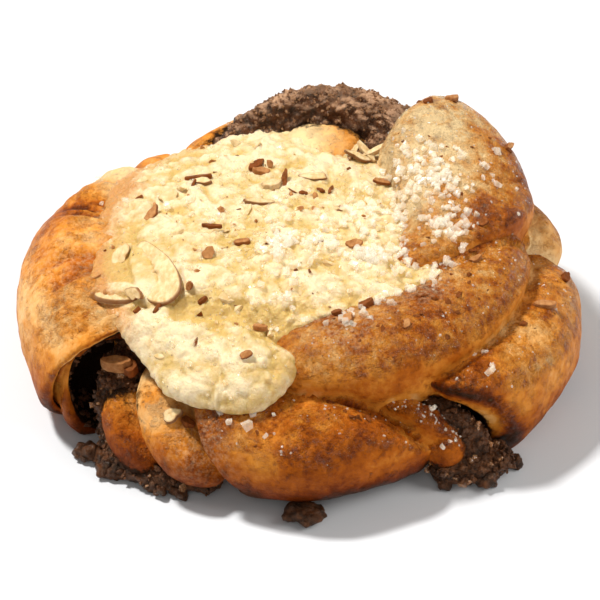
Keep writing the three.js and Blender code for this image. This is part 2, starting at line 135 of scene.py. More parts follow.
def cell_value(cell: np.ndarray, seed: int) -> np.ndarray:
    """Give every cell of a lattice its own random value.

    The three whole coordinates are multiplied by large odd numbers and added, and the bits of
    the sum are mixed.

    Args:
        cell: Whole coordinates, (..., 3).
        seed: Chooses another set of values.

    Returns:
        Values from 0 to 1.
    """
    whole = cell.astype(np.int64).astype(np.uint32)
    mixed = np.full(cell.shape[:-1], seed * SEED_RULE[0] + SEED_RULE[1], np.uint32)
    for axis, factor in enumerate(CELL_FACTORS):
        mixed = mixed + whole[..., axis] * np.uint32(factor)
    for shift, factor in BIT_MIXES:
        mixed = (mixed ^ (mixed >> np.uint32(shift))) * np.uint32(factor)
    return ((mixed >> np.uint32(8)) & np.uint32(0xFFFF)) / 65535.0


def swells(points: np.ndarray, size: float, seed: int, octaves: int = 1) -> np.ndarray:
    """Smooth random swells: lattice values blended by a quintic, each octave half the last.

    Args:
        points: Places in millimetres, (..., 3).
        size: Distance between two swells.
        seed: Chooses another pattern.
        octaves: How many ever finer layers are added.

    Returns:
        Heights of about -1 to 1.
    """
    total = np.zeros(points.shape[:-1])
    for octave in range(octaves):
        turned = points @ OCTAVE_TURN[octave % len(OCTAVE_TURN)]
        place = turned * (2**octave / size) + SWELL_SHIFT * seed
        cell = np.floor(place)
        t = place - cell
        blend = t**3 * (t * (t * 6 - 15) + 10)
        for corner in np.ndindex(2, 2, 2):
            weight = np.prod(np.where(corner, blend, 1 - blend), axis=-1)
            total += weight * (cell_value(cell + corner, seed) * 2 - 1) / 2**octave
    return total


def turn_about(axis: Triple, angle: float) -> np.ndarray:
    """Rotation matrix about an axis, by Rodrigues' formula.

    Args:
        axis: The axis.
        angle: Radians.

    Returns:
        The 3 by 3 matrix.
    """
    x, y, z = np.array(axis) / np.linalg.norm(axis)
    cross = np.array([[0, -z, y], [z, 0, -x], [-y, x, 0]])
    return np.eye(3) + math.sin(angle) * cross + (1 - math.cos(angle)) * cross @ cross


OCTAVE_TURN = [turn_about((1, 2, 3), 0.7), turn_about((3, -1, 1), 1.9), turn_about((-1, 1, 2), 2.8)]


def pebbles(points: np.ndarray, size: float, seed: int) -> np.ndarray:
    """Distance to the nearest of many strewn centres, one to a cell of a lattice.

    Args:
        points: Places in millimetres, (..., 3).
        size: Edge of a cell.
        seed: Chooses another pattern.

    Returns:
        The distance in cell edges.
    """
    place = points / size + PEBBLE_SHIFT * seed
    cell = np.floor(place)
    nearest = np.full(points.shape[:-1], np.inf)
    for step in np.ndindex(3, 3, 3):
        home = cell + step - 1
        centre = home + np.stack([cell_value(home, seed + 101 * k) for k in range(3)], -1)
        nearest = np.minimum(nearest, np.linalg.norm(place - centre, axis=-1))
    return nearest


def rise(value: np.ndarray, low: float, high: float) -> np.ndarray:
    """Smooth step: 0 below low, 1 above high, and 3t² - 2t³ between them."""
    t = np.clip((value - low) / (high - low), 0, 1)
    return t * t * (3 - 2 * t)


def hump(value: np.ndarray, middle: float, width: float) -> np.ndarray:
    """Bell curve of the given width round a middle value."""
    return np.exp(-(((value - middle) / width) ** 2))


def spots_over(points: np.ndarray, spots: Spots) -> np.ndarray:
    """Sum of bell-shaped spots, each amount * exp(-(distance in plan / spread)²).

    Args:
        points: Places in millimetres, (..., 3).
        spots: The spots.

    Returns:
        The sum at each point.
    """
    total = np.zeros(points.shape[:-1])
    for x, y, spread, amount in spots:
        total += amount * hump(np.hypot(points[..., 0] - x, points[..., 1] - y), 0, spread)
    return total


# Closed skins

@dataclass
class Skin:
    """A closed surface in millimetres.

    points is (rows, sides, 3): each row runs once round the piece, and the first and the last
    row are drawn together to poles. The way along the rows times the way round points outwards.
    marks holds what the materials read, a value for each point.
    """

    points: np.ndarray
    marks: dict[str, np.ndarray] = field(default_factory=dict)

    def normals(self) -> np.ndarray:
        """Outward directions: the step along the rows times the step round them.

        Returns:
            Directions of length 1, (rows, sides, 3).
        """
        along = np.gradient(self.points, axis=0)
        around = np.roll(self.points, -1, axis=1) - np.roll(self.points, 1, axis=1)
        out = np.cross(along, around)
        out /= np.maximum(np.linalg.norm(out, axis=-1, keepdims=True), 1e-9)
        for pole, beside in ((0, 1), (-1, -2)):
            mean = out[beside].mean(axis=0)
            out[pole] = mean / max(np.linalg.norm(mean), 1e-9)
        return out

    def push(self, height: np.ndarray) -> None:
        """Move every point outwards by its height; a pole's points move as one.

        Args:
            height: Millimetres, (rows, sides).
        """
        height = height.copy()
        height[0] = height[0].mean()
        height[-1] = height[-1].mean()
        self.points = self.points + self.normals() * height[..., None]

    def mark(self, name: str, value: np.ndarray) -> None:
        """Keep a value for the materials, between 0 and 1."""
        self.marks[name] = np.clip(np.broadcast_to(value, self.points.shape[:2]), 0, 1)

    def closed(self, value: np.ndarray) -> np.ndarray:
        """The values of the vertices: the first pole, the rows between, the last pole."""
        inner = value[1:-1].reshape(-1, *value.shape[2:])
        return np.concatenate([value[:1].mean(axis=1), inner, value[-1:].mean(axis=1)])

    def faces(self) -> tuple[np.ndarray, np.ndarray]:
        """Number the corners of the faces.

        Returns:
            The four-sided faces between the rows, and the three-sided ones round the poles.
        """
        rows, sides = self.points.shape[0] - 2, self.points.shape[1]
        here = 1 + np.arange((rows - 1) * sides).reshape(rows - 1, sides)
        beside = np.roll(here, -1, axis=1)
        quads = np.stack([here, here + sides, beside + sides, beside], -1).reshape(-1, 4)
        first = 1 + np.arange(sides)
        last = first + (rows - 1) * sides
        end = 1 + rows * sides
        fan = np.stack([np.zeros_like(first), first, np.roll(first, -1)], -1)
        tail = np.stack([last, np.full_like(last, end), np.roll(last, -1)], -1)
        return quads, np.concatenate([fan, tail])

    def build(self, name: str, material: bpy.types.Material) -> bpy.types.Object:
        """Make the piece of this skin alone, at the origin, in metres."""
        return joined_piece(name, [self], material)

    def places(self, weight: np.ndarray, count: int, chance: np.random.Generator) -> "Places":
        """Pick points of the skin at random.

        Args:
            weight: How likely each point is, before its share of the area.
            count: How many are picked.
            chance: The random numbers.

        Returns:
            Where they are.
        """
        along = np.gradient(self.points, axis=0)
        around = np.roll(self.points, -1, axis=1) - self.points
        area = np.linalg.norm(np.cross(along, around), axis=-1)
        likely = (weight * area).ravel()
        picked = chance.choice(likely.size, size=count, p=likely / likely.sum())
        spread = chance.uniform(-0.5, 0.5, (2, count, 1))
        steps = along.reshape(-1, 3)[picked] * spread[0] + around.reshape(-1, 3)[picked] * spread[1]
        return Places(self.points.reshape(-1, 3)[picked] + steps, self.normals().reshape(-1, 3)[picked])


@dataclass
class Places:
    """Places on a skin: points in millimetres and the outward directions there."""

    points: np.ndarray
    normals: np.ndarray

    def raised(self, height: np.ndarray | float) -> "Places":
        """The same places, moved outwards."""
        lift = np.broadcast_to(height, self.points.shape[:1])[:, None]
        return Places(self.points + self.normals * lift, self.normals)


def gathered(parts: list[Places]) -> Places:
    """All the places of several lists, in their order."""
    points = np.concatenate([part.points for part in parts])
    return Places(points, np.concatenate([part.normals for part in parts]))


def mesh_piece(
    name: str,
    points: np.ndarray,
    faces: list[np.ndarray],
    material: bpy.types.Material,
    smooth: bool = True,
) -> bpy.types.Object:
    """Put arrays into a new mesh object.

    Args:
        name: Name of the piece.
        points: Vertices in millimetres, (count, 3).
        faces: Arrays of corner numbers, one array for each number of corners.
        material: The finish.
        smooth: Whether the faces are shaded smooth.

    Returns:
        The object, at the origin, in metres.
    """
    mesh = bpy.data.meshes.new(name)
    corners = [face for group in faces for face in group.tolist()]
    mesh.from_pydata((points * MM).tolist(), [], corners)
    mesh.polygons.foreach_set("use_smooth", np.full(len(corners), smooth))
    mesh.materials.append(material)
    piece = bpy.data.objects.new(name, mesh)
    bpy.context.collection.objects.link(piece)
    return piece


def deliver(piece: bpy.types.Object, node: str) -> bpy.types.Object:
    """Hand a piece to the frame.

    Args:
        piece: The piece.
        node: The solid that it stands for.

    Returns:
        The same piece.
    """
    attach(piece, "root")
    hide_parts(node)
    LOG.info("%s: %d faces, stands for %s", piece.name, len(piece.data.polygons), node)
    return piece


# Strands

@dataclass(frozen=True)
class Strand:
    """A strand or a roll: a squarish oval section carried along a curve round the bun.

    A station is the azimuth in degrees, the radius and the height of the middle line, and half
    the width and the height of the section. caps: how far the two ends take to round off. cups:
    how deep they are hollowed, with walls as thick as wall. lean: how far the section is moved
    along the strand for each millimetre outward and upward; it changes to lean_end on the way.
    """

    stations: tuple[tuple[float, ...], ...]
    caps: tuple[float, float] = (9, 9)
    cups: tuple[float, float] = (0, 0)
    wall: float = 3.2
    lean: tuple[float, float] = (0, 0)
    lean_end: tuple[float, float] | None = None

    def middle(self, share: np.ndarray) -> np.ndarray:
        """Points of the middle line at shares of its stations.

        Args:
            share: Where, 0 at the first station and 1 at the last.

        Returns:
            The points, (shares, 3).
        """
        azimuth, radius, height = curve_through(np.array(self.stations), share)[:, :3].T
        turn = np.radians(azimuth)
        return np.stack([radius * np.cos(turn), radius * np.sin(turn), height], 1)

    def length(self) -> float:
        """Length of the middle line."""
        steps = np.diff(self.middle(np.linspace(0, 1, 40)), axis=0)
        return float(np.linalg.norm(steps, axis=1).sum())

    def end_rows(self, cap: float, cup: float, count: int) -> np.ndarray:
        """Rows over one end, from its pole inwards.

        A round end is a superellipse. A cup starts at its floor, runs out along its inner wall
        and turns over a half-round lip.

        Args:
            cap: How far the end takes to round off.
            cup: How deep it is hollowed, or 0.
            count: How many rows.

        Returns:
            Rows of (distance from the end, share of the section, millimetres taken off it).
        """
        if cup <= 0:
            turn = np.linspace(0, math.pi / 2, count)
            share = np.sin(turn) ** (2 / END_POWER)
            far = cap * (1 - np.cos(turn) ** (2 / END_POWER))
            return np.stack([far, share, 0 * share], 1)
        lip = self.wall / 2
        share = np.linspace(0, 1, count)
        far = cup + CUP_DISH * (1 - share**2) - CUP_EDGE
        floor = np.stack([far, share, 0 * share + 2 * lip], 1)
        inside = np.linspace(cup - CUP_EDGE - 0.1, lip * 1.2, count)
        inner = np.stack([inside, 0 * inside + 1, 0 * inside + 2 * lip], 1)
        turn = np.linspace(-math.pi / 2, math.pi / 2, count)
        over = np.stack([lip * (1 - np.cos(turn)), 0 * turn + 1, lip * (1 - np.sin(turn))], 1)
        return np.concatenate([floor, inner, over])

    def skin(self, grain: float = GRAIN) -> Skin:
        """Carry the section along the middle line.

        A point of the section at (u, v), outward and upward, is
        middle + side * u + up * v at the distance moved by the lean, where u and v go round the
        superellipse |u / a|^p + |v / b|^p = 1.

        Args:
            grain: Distance between neighbouring points.

        Returns:
            The skin, marked with along (0..1), inset (share of the wall taken off), and cover
            (share of the section).
        """
        length = self.length()
        reaches = [cap + cup for cap, cup in zip(self.caps, self.cups)]
        counts = [max(int(reach / grain * 0.9), END_ROWS) for reach in reaches]
        front = self.end_rows(self.caps[0], self.cups[0], counts[0])
        back = self.end_rows(self.caps[1], self.cups[1], counts[1])[::-1]
        back[:, 0] = length - back[:, 0]
        start, end = front[-1, 0], back[0, 0]
        reach = np.linspace(start, end, max(int((end - start) / grain), 4))
        between = np.stack([reach, 0 * reach + 1, 0 * reach], 1)[1:-1]
        distance, share, inset = np.concatenate([front, between, back]).T
        table = np.array(self.stations)
        half = curve_through(table, distance / length)[:, 3:5]
        sides = int(math.pi * (table[:, 3].max() + table[:, 4].max()) / grain)
        turn = np.linspace(-math.pi, math.pi, sides, endpoint=False)
        ring = np.stack([np.cos(turn), np.sin(turn)], 1)
        ring = np.sign(ring) * np.abs(ring) ** (2 / SECTION_POWER)
        size = (half - inset[:, None]) * share[:, None]
        u = size[:, :1] * ring[:, 0]
        v = size[:, 1:] * ring[:, 1]
        moved = distance[:, None] + self.lean_at(distance / length, u, v)
        side, up, middle = self.axes(moved.ravel() / length)
        points = middle + side * u.reshape(-1, 1) + up * v.reshape(-1, 1)
        skin = Skin(points.reshape(*u.shape, 3))
        skin.mark("along", (distance / length)[:, None])
        skin.mark("inset", (inset / self.wall)[:, None])
        skin.mark("cover", share[:, None])
        return skin

    def lean_at(self, share: np.ndarray, u: np.ndarray, v: np.ndarray) -> np.ndarray:
        """How far the points (u, v) of the sections are moved along the strand.

        Args:
            share: Share of each section's distance.
            u: Outward, in millimetres.
            v: Upward, in millimetres.

        Returns:
            Millimetres along the strand.
        """
        start = np.array(self.lean)
        change = np.array(self.lean_end or self.lean) - start
        lean = start + change * share.reshape(-1, 1)
        return lean[:, :1] * u + lean[:, 1:] * v

    def axes(self, share: np.ndarray) -> tuple[np.ndarray, np.ndarray, np.ndarray]:
        """Outward and upward directions of the section, and its middle point.

        Args:
            share: Where along the strand.

        Returns:
            Three arrays of (shares, 3).
        """
        tangent = self.middle(share + 1e-3) - self.middle(share - 1e-3)
        tangent /= np.linalg.norm(tangent, axis=1, keepdims=True)
        side = np.cross(tangent, (0.0, 0.0, 1.0))
        side /= np.linalg.norm(side, axis=1, keepdims=True)
        return side, np.cross(side, tangent), self.middle(share)

    def clearance(self, points: np.ndarray) -> np.ndarray:
        """Rough distance of points from this strand.

        The nearest of a row of sections is found, the point is measured in that section's own
        axes, and the superellipse value less one is multiplied by the section's size. A point
        past the strand's slanted end is as far away as it is past it.

        Args:
            points: Places, (..., 3).

        Returns:
            Millimetres, less than 0 inside.
        """
        share = np.linspace(0, 1, 48)
        side, up, middle = self.axes(share)
        flat = points.reshape(-1, 3)
        gap = ((flat[:, None] - middle[None]) ** 2).sum(-1)
        near = gap.argmin(axis=1)
        offset = flat - middle[near]
        u = (offset * side[near]).sum(1)
        v = (offset * up[near]).sum(1)
        half = curve_through(np.array(self.stations), share)[near, 3:5]
        value = (np.abs(u / half[:, 0]) ** SECTION_POWER + np.abs(v / half[:, 1]) ** SECTION_POWER)
        outside = (value ** (1 / SECTION_POWER) - 1) * half.min(axis=1)
        length = self.length()
        tangent = np.cross(up[near], side[near])
        station = share[near] * length + (offset * tangent).sum(1)
        station = station - self.lean_at(share[near], u[:, None], v[:, None])[:, 0]
        past = np.maximum(-station, station - length)
        return np.maximum(outside, past).reshape(points.shape[:-1])


# Materials

def colour(red: float, green: float, blue: float) -> tuple[float, float, float, float]:
    """A screen colour of 0 to 255 as the linear colour that the shaders use.

    Args:
        red: 0 to 255.
        green: 0 to 255.
        blue: 0 to 255.

    Returns:
        Red, green, blue and an alpha of 1.
    """
    shares = np.array([red, green, blue]) / 255
    linear = np.where(shares < 0.04045, shares / 12.92, ((shares + 0.055) / 1.055) ** 2.4)
    return (*linear.tolist(), 1.0)


class Graph:
    """The node tree of a new material."""

    def __init__(self, name: str) -> None:
        """Start the material with its shader and the object's own coordinates."""
        self.material = bpy.data.materials.new(name)
        self.material.use_nodes = True
        self.tree = self.material.node_tree
        self.shader = self.tree.nodes["Principled BSDF"]
        self.place = self.add("ShaderNodeTexCoord").outputs["Object"]

    def add(self, kind: str, sockets: dict[Any, Any] | None = None, **options: Any) -> bpy.types.Node:
        """Add a node.

        Args:
            kind: Blender's name of the node.
            sockets: Values of its inputs; an output of another node is joined to the input.
            options: Other settings of the node.

        Returns:
            The node.
        """
        node = self.tree.nodes.new(kind)
        for name, value in options.items():
            setattr(node, name, value)
        for name, value in (sockets or {}).items():
            if isinstance(value, bpy.types.NodeSocket):
                self.tree.links.new(value, node.inputs[name])
            else:
                node.inputs[name].default_value = value
        return node

    def noise(
        self, size: float, detail: float = 4, rough: float = 0.55, stretch: Triple | None = None
    ) -> Value:
        """Noise of a feature size in millimetres, 0 to 1.

        Args:
            size: The feature size.
            detail: How many finer layers it has.
            rough: How strong those are.
            stretch: Factors of the coordinates, if any.

        Returns:
            The output of the noise.
        """
        vector = self.place
        if stretch is not None:
            vector = self.add("ShaderNodeMapping", {"Vector": vector, "Scale": stretch}).outputs[0]
        sockets = {"Vector": vector, "Scale": 1 / (size * MM), "Detail": detail, "Roughness": rough}
        return self.add("ShaderNodeTexNoise", sockets).outputs[0]

    def dots(self, size: float, low: float, high: float) -> Value:
        """Round dots in cells of a size in millimetres: 1 inside low, 0 past high."""
        cells = self.add("ShaderNodeTexVoronoi", {"Vector": self.place, "Scale": 1 / (size * MM)})
        return self.span(cells.outputs["Distance"], high, low)

    def mark(self, name: str) -> Value:
        """A value that the mesh carries."""
        return self.add("ShaderNodeAttribute", attribute_name=name).outputs["Fac"]

    def span(self, value: Value, low: float, high: float, start: float = 0, end: float = 1) -> Value:
        """Map low..high to start..end, held at both ends."""
        sockets = {"Value": value, "From Min": low, "From Max": high, "To Min": start, "To Max": end}
        return self.add("ShaderNodeMapRange", sockets).outputs["Result"]

    def spread(self, noise: Value, start: float = 0, end: float = 1) -> Value:
        """Map the range in which noise mostly lies to start..end."""
        return self.span(noise, 0.3, 0.7, start, end)

    def frayed(self, name: str, noise: Value, by: float, low: float, high: float) -> Value:
        """A mark whose edge is frayed by noise: 0 below low, 1 above high."""
        return self.span(self.sum(self.mark(name), self.spread(noise, -by, by)), low, high)

    def fold(self, operation: str, values: tuple[Value, ...]) -> Value:
        """Join values one after another by a math operation."""
        total = values[0]
        for value in values[1:]:
            total = self.add("ShaderNodeMath", {0: total, 1: value}, operation=operation).outputs[0]
        return total

    def sum(self, *terms: Value) -> Value:
        """Add values."""
        return self.fold("ADD", terms)

    def times(self, *factors: Value) -> Value:
        """Multiply values."""
        return self.fold("MULTIPLY", factors)

    def ramp(self, value: Value, stops: tuple[tuple[float, Rgb], ...]) -> Value:
        """Colours along a value: stops of (place, screen colour).

        Args:
            value: The value.
            stops: The stops.

        Returns:
            The output of the ramp.
        """
        node = self.add("ShaderNodeValToRGB", {"Fac": value})
        entries = node.color_ramp.elements
        while len(entries) < len(stops):
            entries.new(1.0)
        for entry, (place, shade) in zip(entries, stops):
            entry.position = place
            entry.color = colour(*shade)
        return node.outputs["Color"]

    def stain(self, base: Value, share: Value, shade: Rgb) -> Value:
        """Blend a screen colour over a base: none of it where the share is 0, all where it is 1."""
        sockets = {0: share, 6: base, 7: colour(*shade)}
        return self.add("ShaderNodeMix", sockets, data_type="RGBA").outputs[2]

    def relief(self, *layers: tuple[Value, float]) -> None:
        """Bump the surface by layers of (value, height in millimetres).

        Args:
            layers: The layers, the lowest first.
        """
        below = None
        for value, height in layers:
            sockets = {"Height": value, "Distance": height * MM, "Strength": 1.0}
            if below is not None:
                sockets["Normal"] = below
            below = self.add("ShaderNodeBump", sockets).outputs["Normal"]
        for socket in ("Normal", "Coat Normal"):
            self.tree.links.new(below, self.shader.inputs[socket])

    def finish(self, **sockets: Value) -> bpy.types.Material:
        """Set or join the shader's sockets, whose spaces are written as underscores.

        Args:
            sockets: A value, or the output of a node, for each socket.

        Returns:
            The finished material.
        """
        for name, value in sockets.items():
            socket = self.shader.inputs[name.replace("_", " ")]
            if isinstance(value, bpy.types.NodeSocket):
                self.tree.links.new(value, socket)
            else:
                socket.default_value = value
        return self.material


@dataclass(frozen=True)
class Crust:
    """Egg-washed, baked dough, from pale gold to dark brown."""

    shades: tuple[tuple[float, Rgb], ...] = (
        (0.0, (242, 208, 152)),
        (0.2, (230, 176, 108)),
        (0.4, (210, 132, 46)),
        (0.6, (170, 86, 14)),
        (0.8, (110, 42, 4)),
        (1.0, (50, 18, 2)),
    )
    dust: Rgb = (238, 208, 164)
    cream: Rgb = (228, 198, 146)
    # Dark filling smeared on the crust; deep in the hollowed ends it is also painted shade.
    smear_and_shade: Rgb = (30, 13, 6)
    blotch: Rgb = (112, 46, 6)
    burnt: Rgb = (54, 25, 10)
    warm: Rgb = (255, 196, 120)  # tint of its highlights

    def make(self) -> bpy.types.Material:
        """Make the material: the marks bake, glaze, dust, cream and smear choose its looks; the smear is
        filling on the crust, and inside the hollowed ends also painted shade.

        Returns:
            The material.
        """
        net = Graph("baked_crust")
        broad = net.noise(7, 5, 0.6)
        fine = net.noise(1.6, 6, 0.65)
        grain = net.noise(0.7, 5, 0.7)
        drawn = net.noise(2.2, 4, 0.6, stretch=(1, 1, 0.35))
        mottle = net.noise(2.8, 7, 0.72)
        glazed = net.frayed("glaze", net.noise(3.2, 6, 0.65), 0.35, 0.15, 0.85)
        smear_and_shade_share = net.frayed("smear_and_shade", fine, 0.3, 0.35, 0.7)
        bake = net.sum(
            net.mark("bake"),
            net.spread(broad, -0.08, 0.08),
            net.spread(fine, -0.07, 0.07),
            net.span(drawn, 0.35, 0.7, -0.04, 0.05),
            net.times(glazed, net.span(mottle, 0.33, 0.67, -0.2, 0.24)),
        )
        ragged = net.span(net.noise(4.4, 7, 0.75), 0.5, 0.66)
        speck = net.times(net.span(grain, 0.61, 0.68), net.span(net.noise(5, 3, 0.6), 0.42, 0.6))
        dusted = net.times(net.mark("dust"), net.span(net.noise(0.9, 6, 0.7), 0.45, 0.62))
        base = net.ramp(bake, self.shades)
        base = net.stain(base, net.times(ragged, glazed, 0.55), self.blotch)
        base = net.stain(base, net.times(speck, net.sum(0.25, glazed), 0.6), self.burnt)
        base = net.stain(base, net.frayed("cream", fine, 0.3, 0.25, 0.95), self.cream)
        base = net.stain(base, dusted, self.dust)
        base = net.stain(base, smear_and_shade_share, self.smear_and_shade)
        net.relief(
            (net.spread(broad), 0.16),
            (net.spread(drawn), 0.08),
            (net.times(net.spread(fine), net.sum(0.35, glazed)), 0.28),
            (net.times(net.spread(grain), net.sum(0.3, glazed, smear_and_shade_share)), 0.15),
            (net.times(net.noise(0.4, 3, 0.6), net.sum(0.3, glazed)), 0.16),
        )
        dull = net.span(net.noise(3.5, 4, 0.6), 0.35, 0.65, 0.44, 0.62)
        wet = net.span(net.noise(1.1, 5, 0.65), 0.48, 0.6, 0.06, 0.95)
        return net.finish(
            Base_Color=base,
            Roughness=net.sum(dull, net.times(glazed, -0.2)),
            Specular_IOR_Level=0.22,
            Specular_Tint=colour(*self.warm),
            Coat_Weight=net.times(glazed, wet),
            Coat_Roughness=0.1,
        )


@dataclass(frozen=True)
class Curd:
    """Baked custard: moist, grainy and cream coloured, toasted yellow in places; its hollows and low places
    are yellower and darker, partly its own tone and partly painted shade.
    """

    cream: Rgb = (240, 217, 172)
    butter_and_shade: Rgb = (212, 175, 96)
    toast: Rgb = (204, 144, 74)
    speckle: Rgb = (128, 76, 34)

    def make(self) -> bpy.types.Material:
        """Make the material: the mark toast says how far it is browned, low where it is yellower and darker,
        partly as painted shade.

        Returns:
            The material.
        """
        net = Graph("baked_custard")
        broad = net.noise(6, 5, 0.6)
        fine = net.noise(1.3, 6, 0.7)
        grain = net.noise(0.5, 4, 0.65)
        # The low mark and some noise pick the yellower, darker tone: partly the custard's own yellow, partly
        # painted shade in hollows.
        hollow = net.sum(net.span(broad, 0.35, 0.65, 0, 0.56), net.times(fine, 0.35), net.mark("low"))
        speck = net.times(net.dots(2.3, 0.05, 0.1), net.span(broad, 0.5, 0.6), 0.75)
        base = net.stain(colour(*self.cream), net.span(hollow, 0.45, 1.0), self.butter_and_shade)
        base = net.stain(base, net.frayed("toast", fine, 0.25, 0.2, 0.9), self.toast)
        base = net.stain(base, speck, self.speckle)
        net.relief(
            (broad, 0.3),
            (net.spread(fine), 0.22),
            (net.spread(grain), 0.1),
            (net.noise(0.28, 2, 0.5), 0.06),
        )
        return net.finish(
            Base_Color=base,
            Roughness=net.span(grain, 0.35, 0.65, 0.26, 0.5),
            Specular_IOR_Level=0.5,
            Coat_Weight=net.span(net.noise(0.9, 5, 0.6), 0.5, 0.6, 0.1, 0.9),
            Coat_Roughness=0.1,
            Subsurface_Weight=0.45,
            Subsurface_Radius=(1.0, 0.75, 0.4),
            Subsurface_Scale=0.0011,
        )


@dataclass(frozen=True)
class Spice:
    """Cinnamon filling: dark, sticky and crumbly, with a dry sugary bloom on what faces up; that lighter tone
    on tops and ridges is partly painted sheen, and the dark crevices partly painted shade.
    """

    name: str = "cinnamon_paste"
    dark: Rgb = (30, 12, 4)
    brown: Rgb = (100, 54, 22)
    bloom_and_sheen_tone: Rgb = (204, 158, 120)
    warm: Rgb = (255, 214, 176)  # tint of its highlights

    def make(self) -> bpy.types.Material:
        """Make the material: a mark says where the lighter bloom lies, partly real sugar and partly painted
        sheen.

        Returns:
            The material.
        """
        net = Graph(self.name)
        clod = net.noise(2.2, 6, 0.7)
        fine = net.noise(0.7, 6, 0.7)
        bloom_and_sheen = net.frayed("bloom_and_sheen", fine, 0.35, 0.3, 0.9)
        bare = net.span(net.noise(7, 4, 0.6), 0.38, 0.58, 0.25, 1.0)
        base = net.stain(colour(*self.dark), net.span(clod, 0.4, 0.65), self.brown)
        base = net.stain(base, net.times(bloom_and_sheen, bare), self.bloom_and_sheen_tone)
        net.relief((clod, 0.6), (fine, 0.6), (net.noise(0.3, 3, 0.6), 0.15))
        return net.finish(
            Base_Color=base,
            Roughness=net.span(net.sum(fine, net.times(bloom_and_sheen, 0.4)), 0.35, 0.9, 0.25, 0.75),
            Specular_IOR_Level=0.5,
            Specular_Tint=colour(*self.warm),
            Coat_Weight=0.2,
            Coat_Roughness=0.15,
        )


@dataclass(frozen=True)
class Crystal:
    """Coarse sugar: clear at its edges and milky inside, with a faint glow that is painted light."""

    name: str = "sugar_crystal"
    body: Rgb = (250, 240, 220)
    core: Rgb = (240, 220, 186)

    def make(self) -> bpy.types.Material:
        """Make the material, with a cloudy core and a faint glow that is painted light.

        Returns:
            The material.
        """
        net = Graph(self.name)
        cloud = net.noise(0.8, 3, 0.6)
        net.relief((net.noise(0.5, 2, 0.5), 0.1))
        return net.finish(
            Base_Color=net.stain(colour(*self.body), net.span(cloud, 0.4, 0.65), self.core),
            Roughness=net.span(cloud, 0.35, 0.65, 0.08, 0.25),
            IOR=1.5,
            Alpha=0.34,
            # Emission is painted light: it brightens the faces turned away from the lamps.
            Emission_Color=colour(*self.body),
            Emission_Strength=0.22,
            Specular_IOR_Level=0.9,
            Coat_Weight=1.0,
            Coat_Roughness=0.04,
            Subsurface_Weight=0.6,
            Subsurface_Radius=(1.0, 0.95, 0.85),
            Subsurface_Scale=0.001,
        )


class Nut(Enum):
    """Which side of an almond shows: the inside, cut or toasted, or its brown skin."""

    FLESH = "almond_flesh"
    TOASTED = "almond_toasted"
    SKIN = "almond_skin"


ALMOND_TONES = {
    Nut.FLESH: ((226, 202, 156), (200, 164, 108)),
    Nut.TOASTED: ((186, 132, 82), (140, 84, 42)),
    Nut.SKIN: ((126, 66, 28), (86, 40, 14)),
}  # the light and the dark tone of each


@dataclass(frozen=True)
class Almond:
    """Almond in one of its three finishes."""

    kind: Nut
    edge: Rgb = (118, 62, 28)
    warm: Rgb = (255, 196, 120)  # tint of its highlights

    def make(self) -> bpy.types.Material:
        """Make the material: long fibres, and brown where the mark rim is.

        Returns:
            The material.
        """
        net = Graph(self.kind.value)
        light, dark = ALMOND_TONES[self.kind]
        fibre = net.noise(0.8, 5, 0.6, stretch=(1, 0.3, 1))
        blotch = net.noise(2.4, 4, 0.6)
        base = net.stain(colour(*light), net.span(net.sum(fibre, blotch), 0.8, 1.25), dark)
        net.relief((fibre, 0.18), (net.noise(0.35, 3, 0.6), 0.06))
        return net.finish(
            Base_Color=net.stain(base, net.times(net.mark("rim"), 0.85), self.edge),
            Roughness=net.span(blotch, 0.3, 0.7, 0.4, 0.6),
            Specular_IOR_Level=0.3,
            Specular_Tint=colour(*self.warm),
            Subsurface_Weight=0.15,
            Subsurface_Radius=(1.0, 0.7, 0.4),
            Subsurface_Scale=0.001,
        )


@dataclass(frozen=True)
class Backdrop:
    """The plain pale floor."""

    shade: Rgb = (216, 216, 216)
    mottle: Rgb = (212, 212, 212)

    def make(self) -> bpy.types.Material:
        """Make the material, matt with a trace of mottling.

        Returns:
            The material.
        """
        net = Graph("pale_floor")
        base = net.stain(colour(*self.shade), net.noise(40, 3, 0.5), self.mottle)
        return net.finish(Base_Color=base, Roughness=0.9, Specular_IOR_Level=0.1)


# Pieces made of many parts

def joined_piece(name: str, skins: list[Skin], material: bpy.types.Material) -> bpy.types.Object:
    """Make one piece of closed skins.

    Args:
        name: Name of the piece.
        skins: The skins, all with the same marks.
        material: The finish.

    Returns:
        The piece, at the origin, in metres.
    """
    points = [skin.closed(skin.points) for skin in skins]
    starts = np.cumsum([0] + [len(part) for part in points])
    kinds = zip(*(skin.faces() for skin in skins))
    faces = [np.concatenate([face + start for face, start in zip(kind, starts)]) for kind in kinds]
    piece = mesh_piece(name, np.concatenate(points), faces, material)
    for mark in skins[0].marks:
        values = np.concatenate([skin.closed(skin.marks[mark]) for skin in skins])
        kept = piece.data.attributes.new(mark, "FLOAT", "POINT")
        kept.data.foreach_set("value", values.astype(np.float32))
    return piece


def turned_frames(normals: np.ndarray, tilt: float, chance: np.random.Generator) -> np.ndarray:
    """Axes of loose bits: each is tipped off its surface's direction and turned at random.

    Args:
        normals: Outward directions, (count, 3).
        tilt: Spread of the tipping; 3 or more leaves no direction preferred.
        chance: The random numbers.

    Returns:
        (count, 3, 3): the long axis, the cross axis and the upward axis of each bit.
    """
    up = normals + tilt * chance.normal(size=normals.shape)
    up /= np.linalg.norm(up, axis=1, keepdims=True)
    long = np.cross(up, chance.normal(size=normals.shape))
    long /= np.linalg.norm(long, axis=1, keepdims=True)
    return np.stack([long, np.cross(up, long), up], 1)


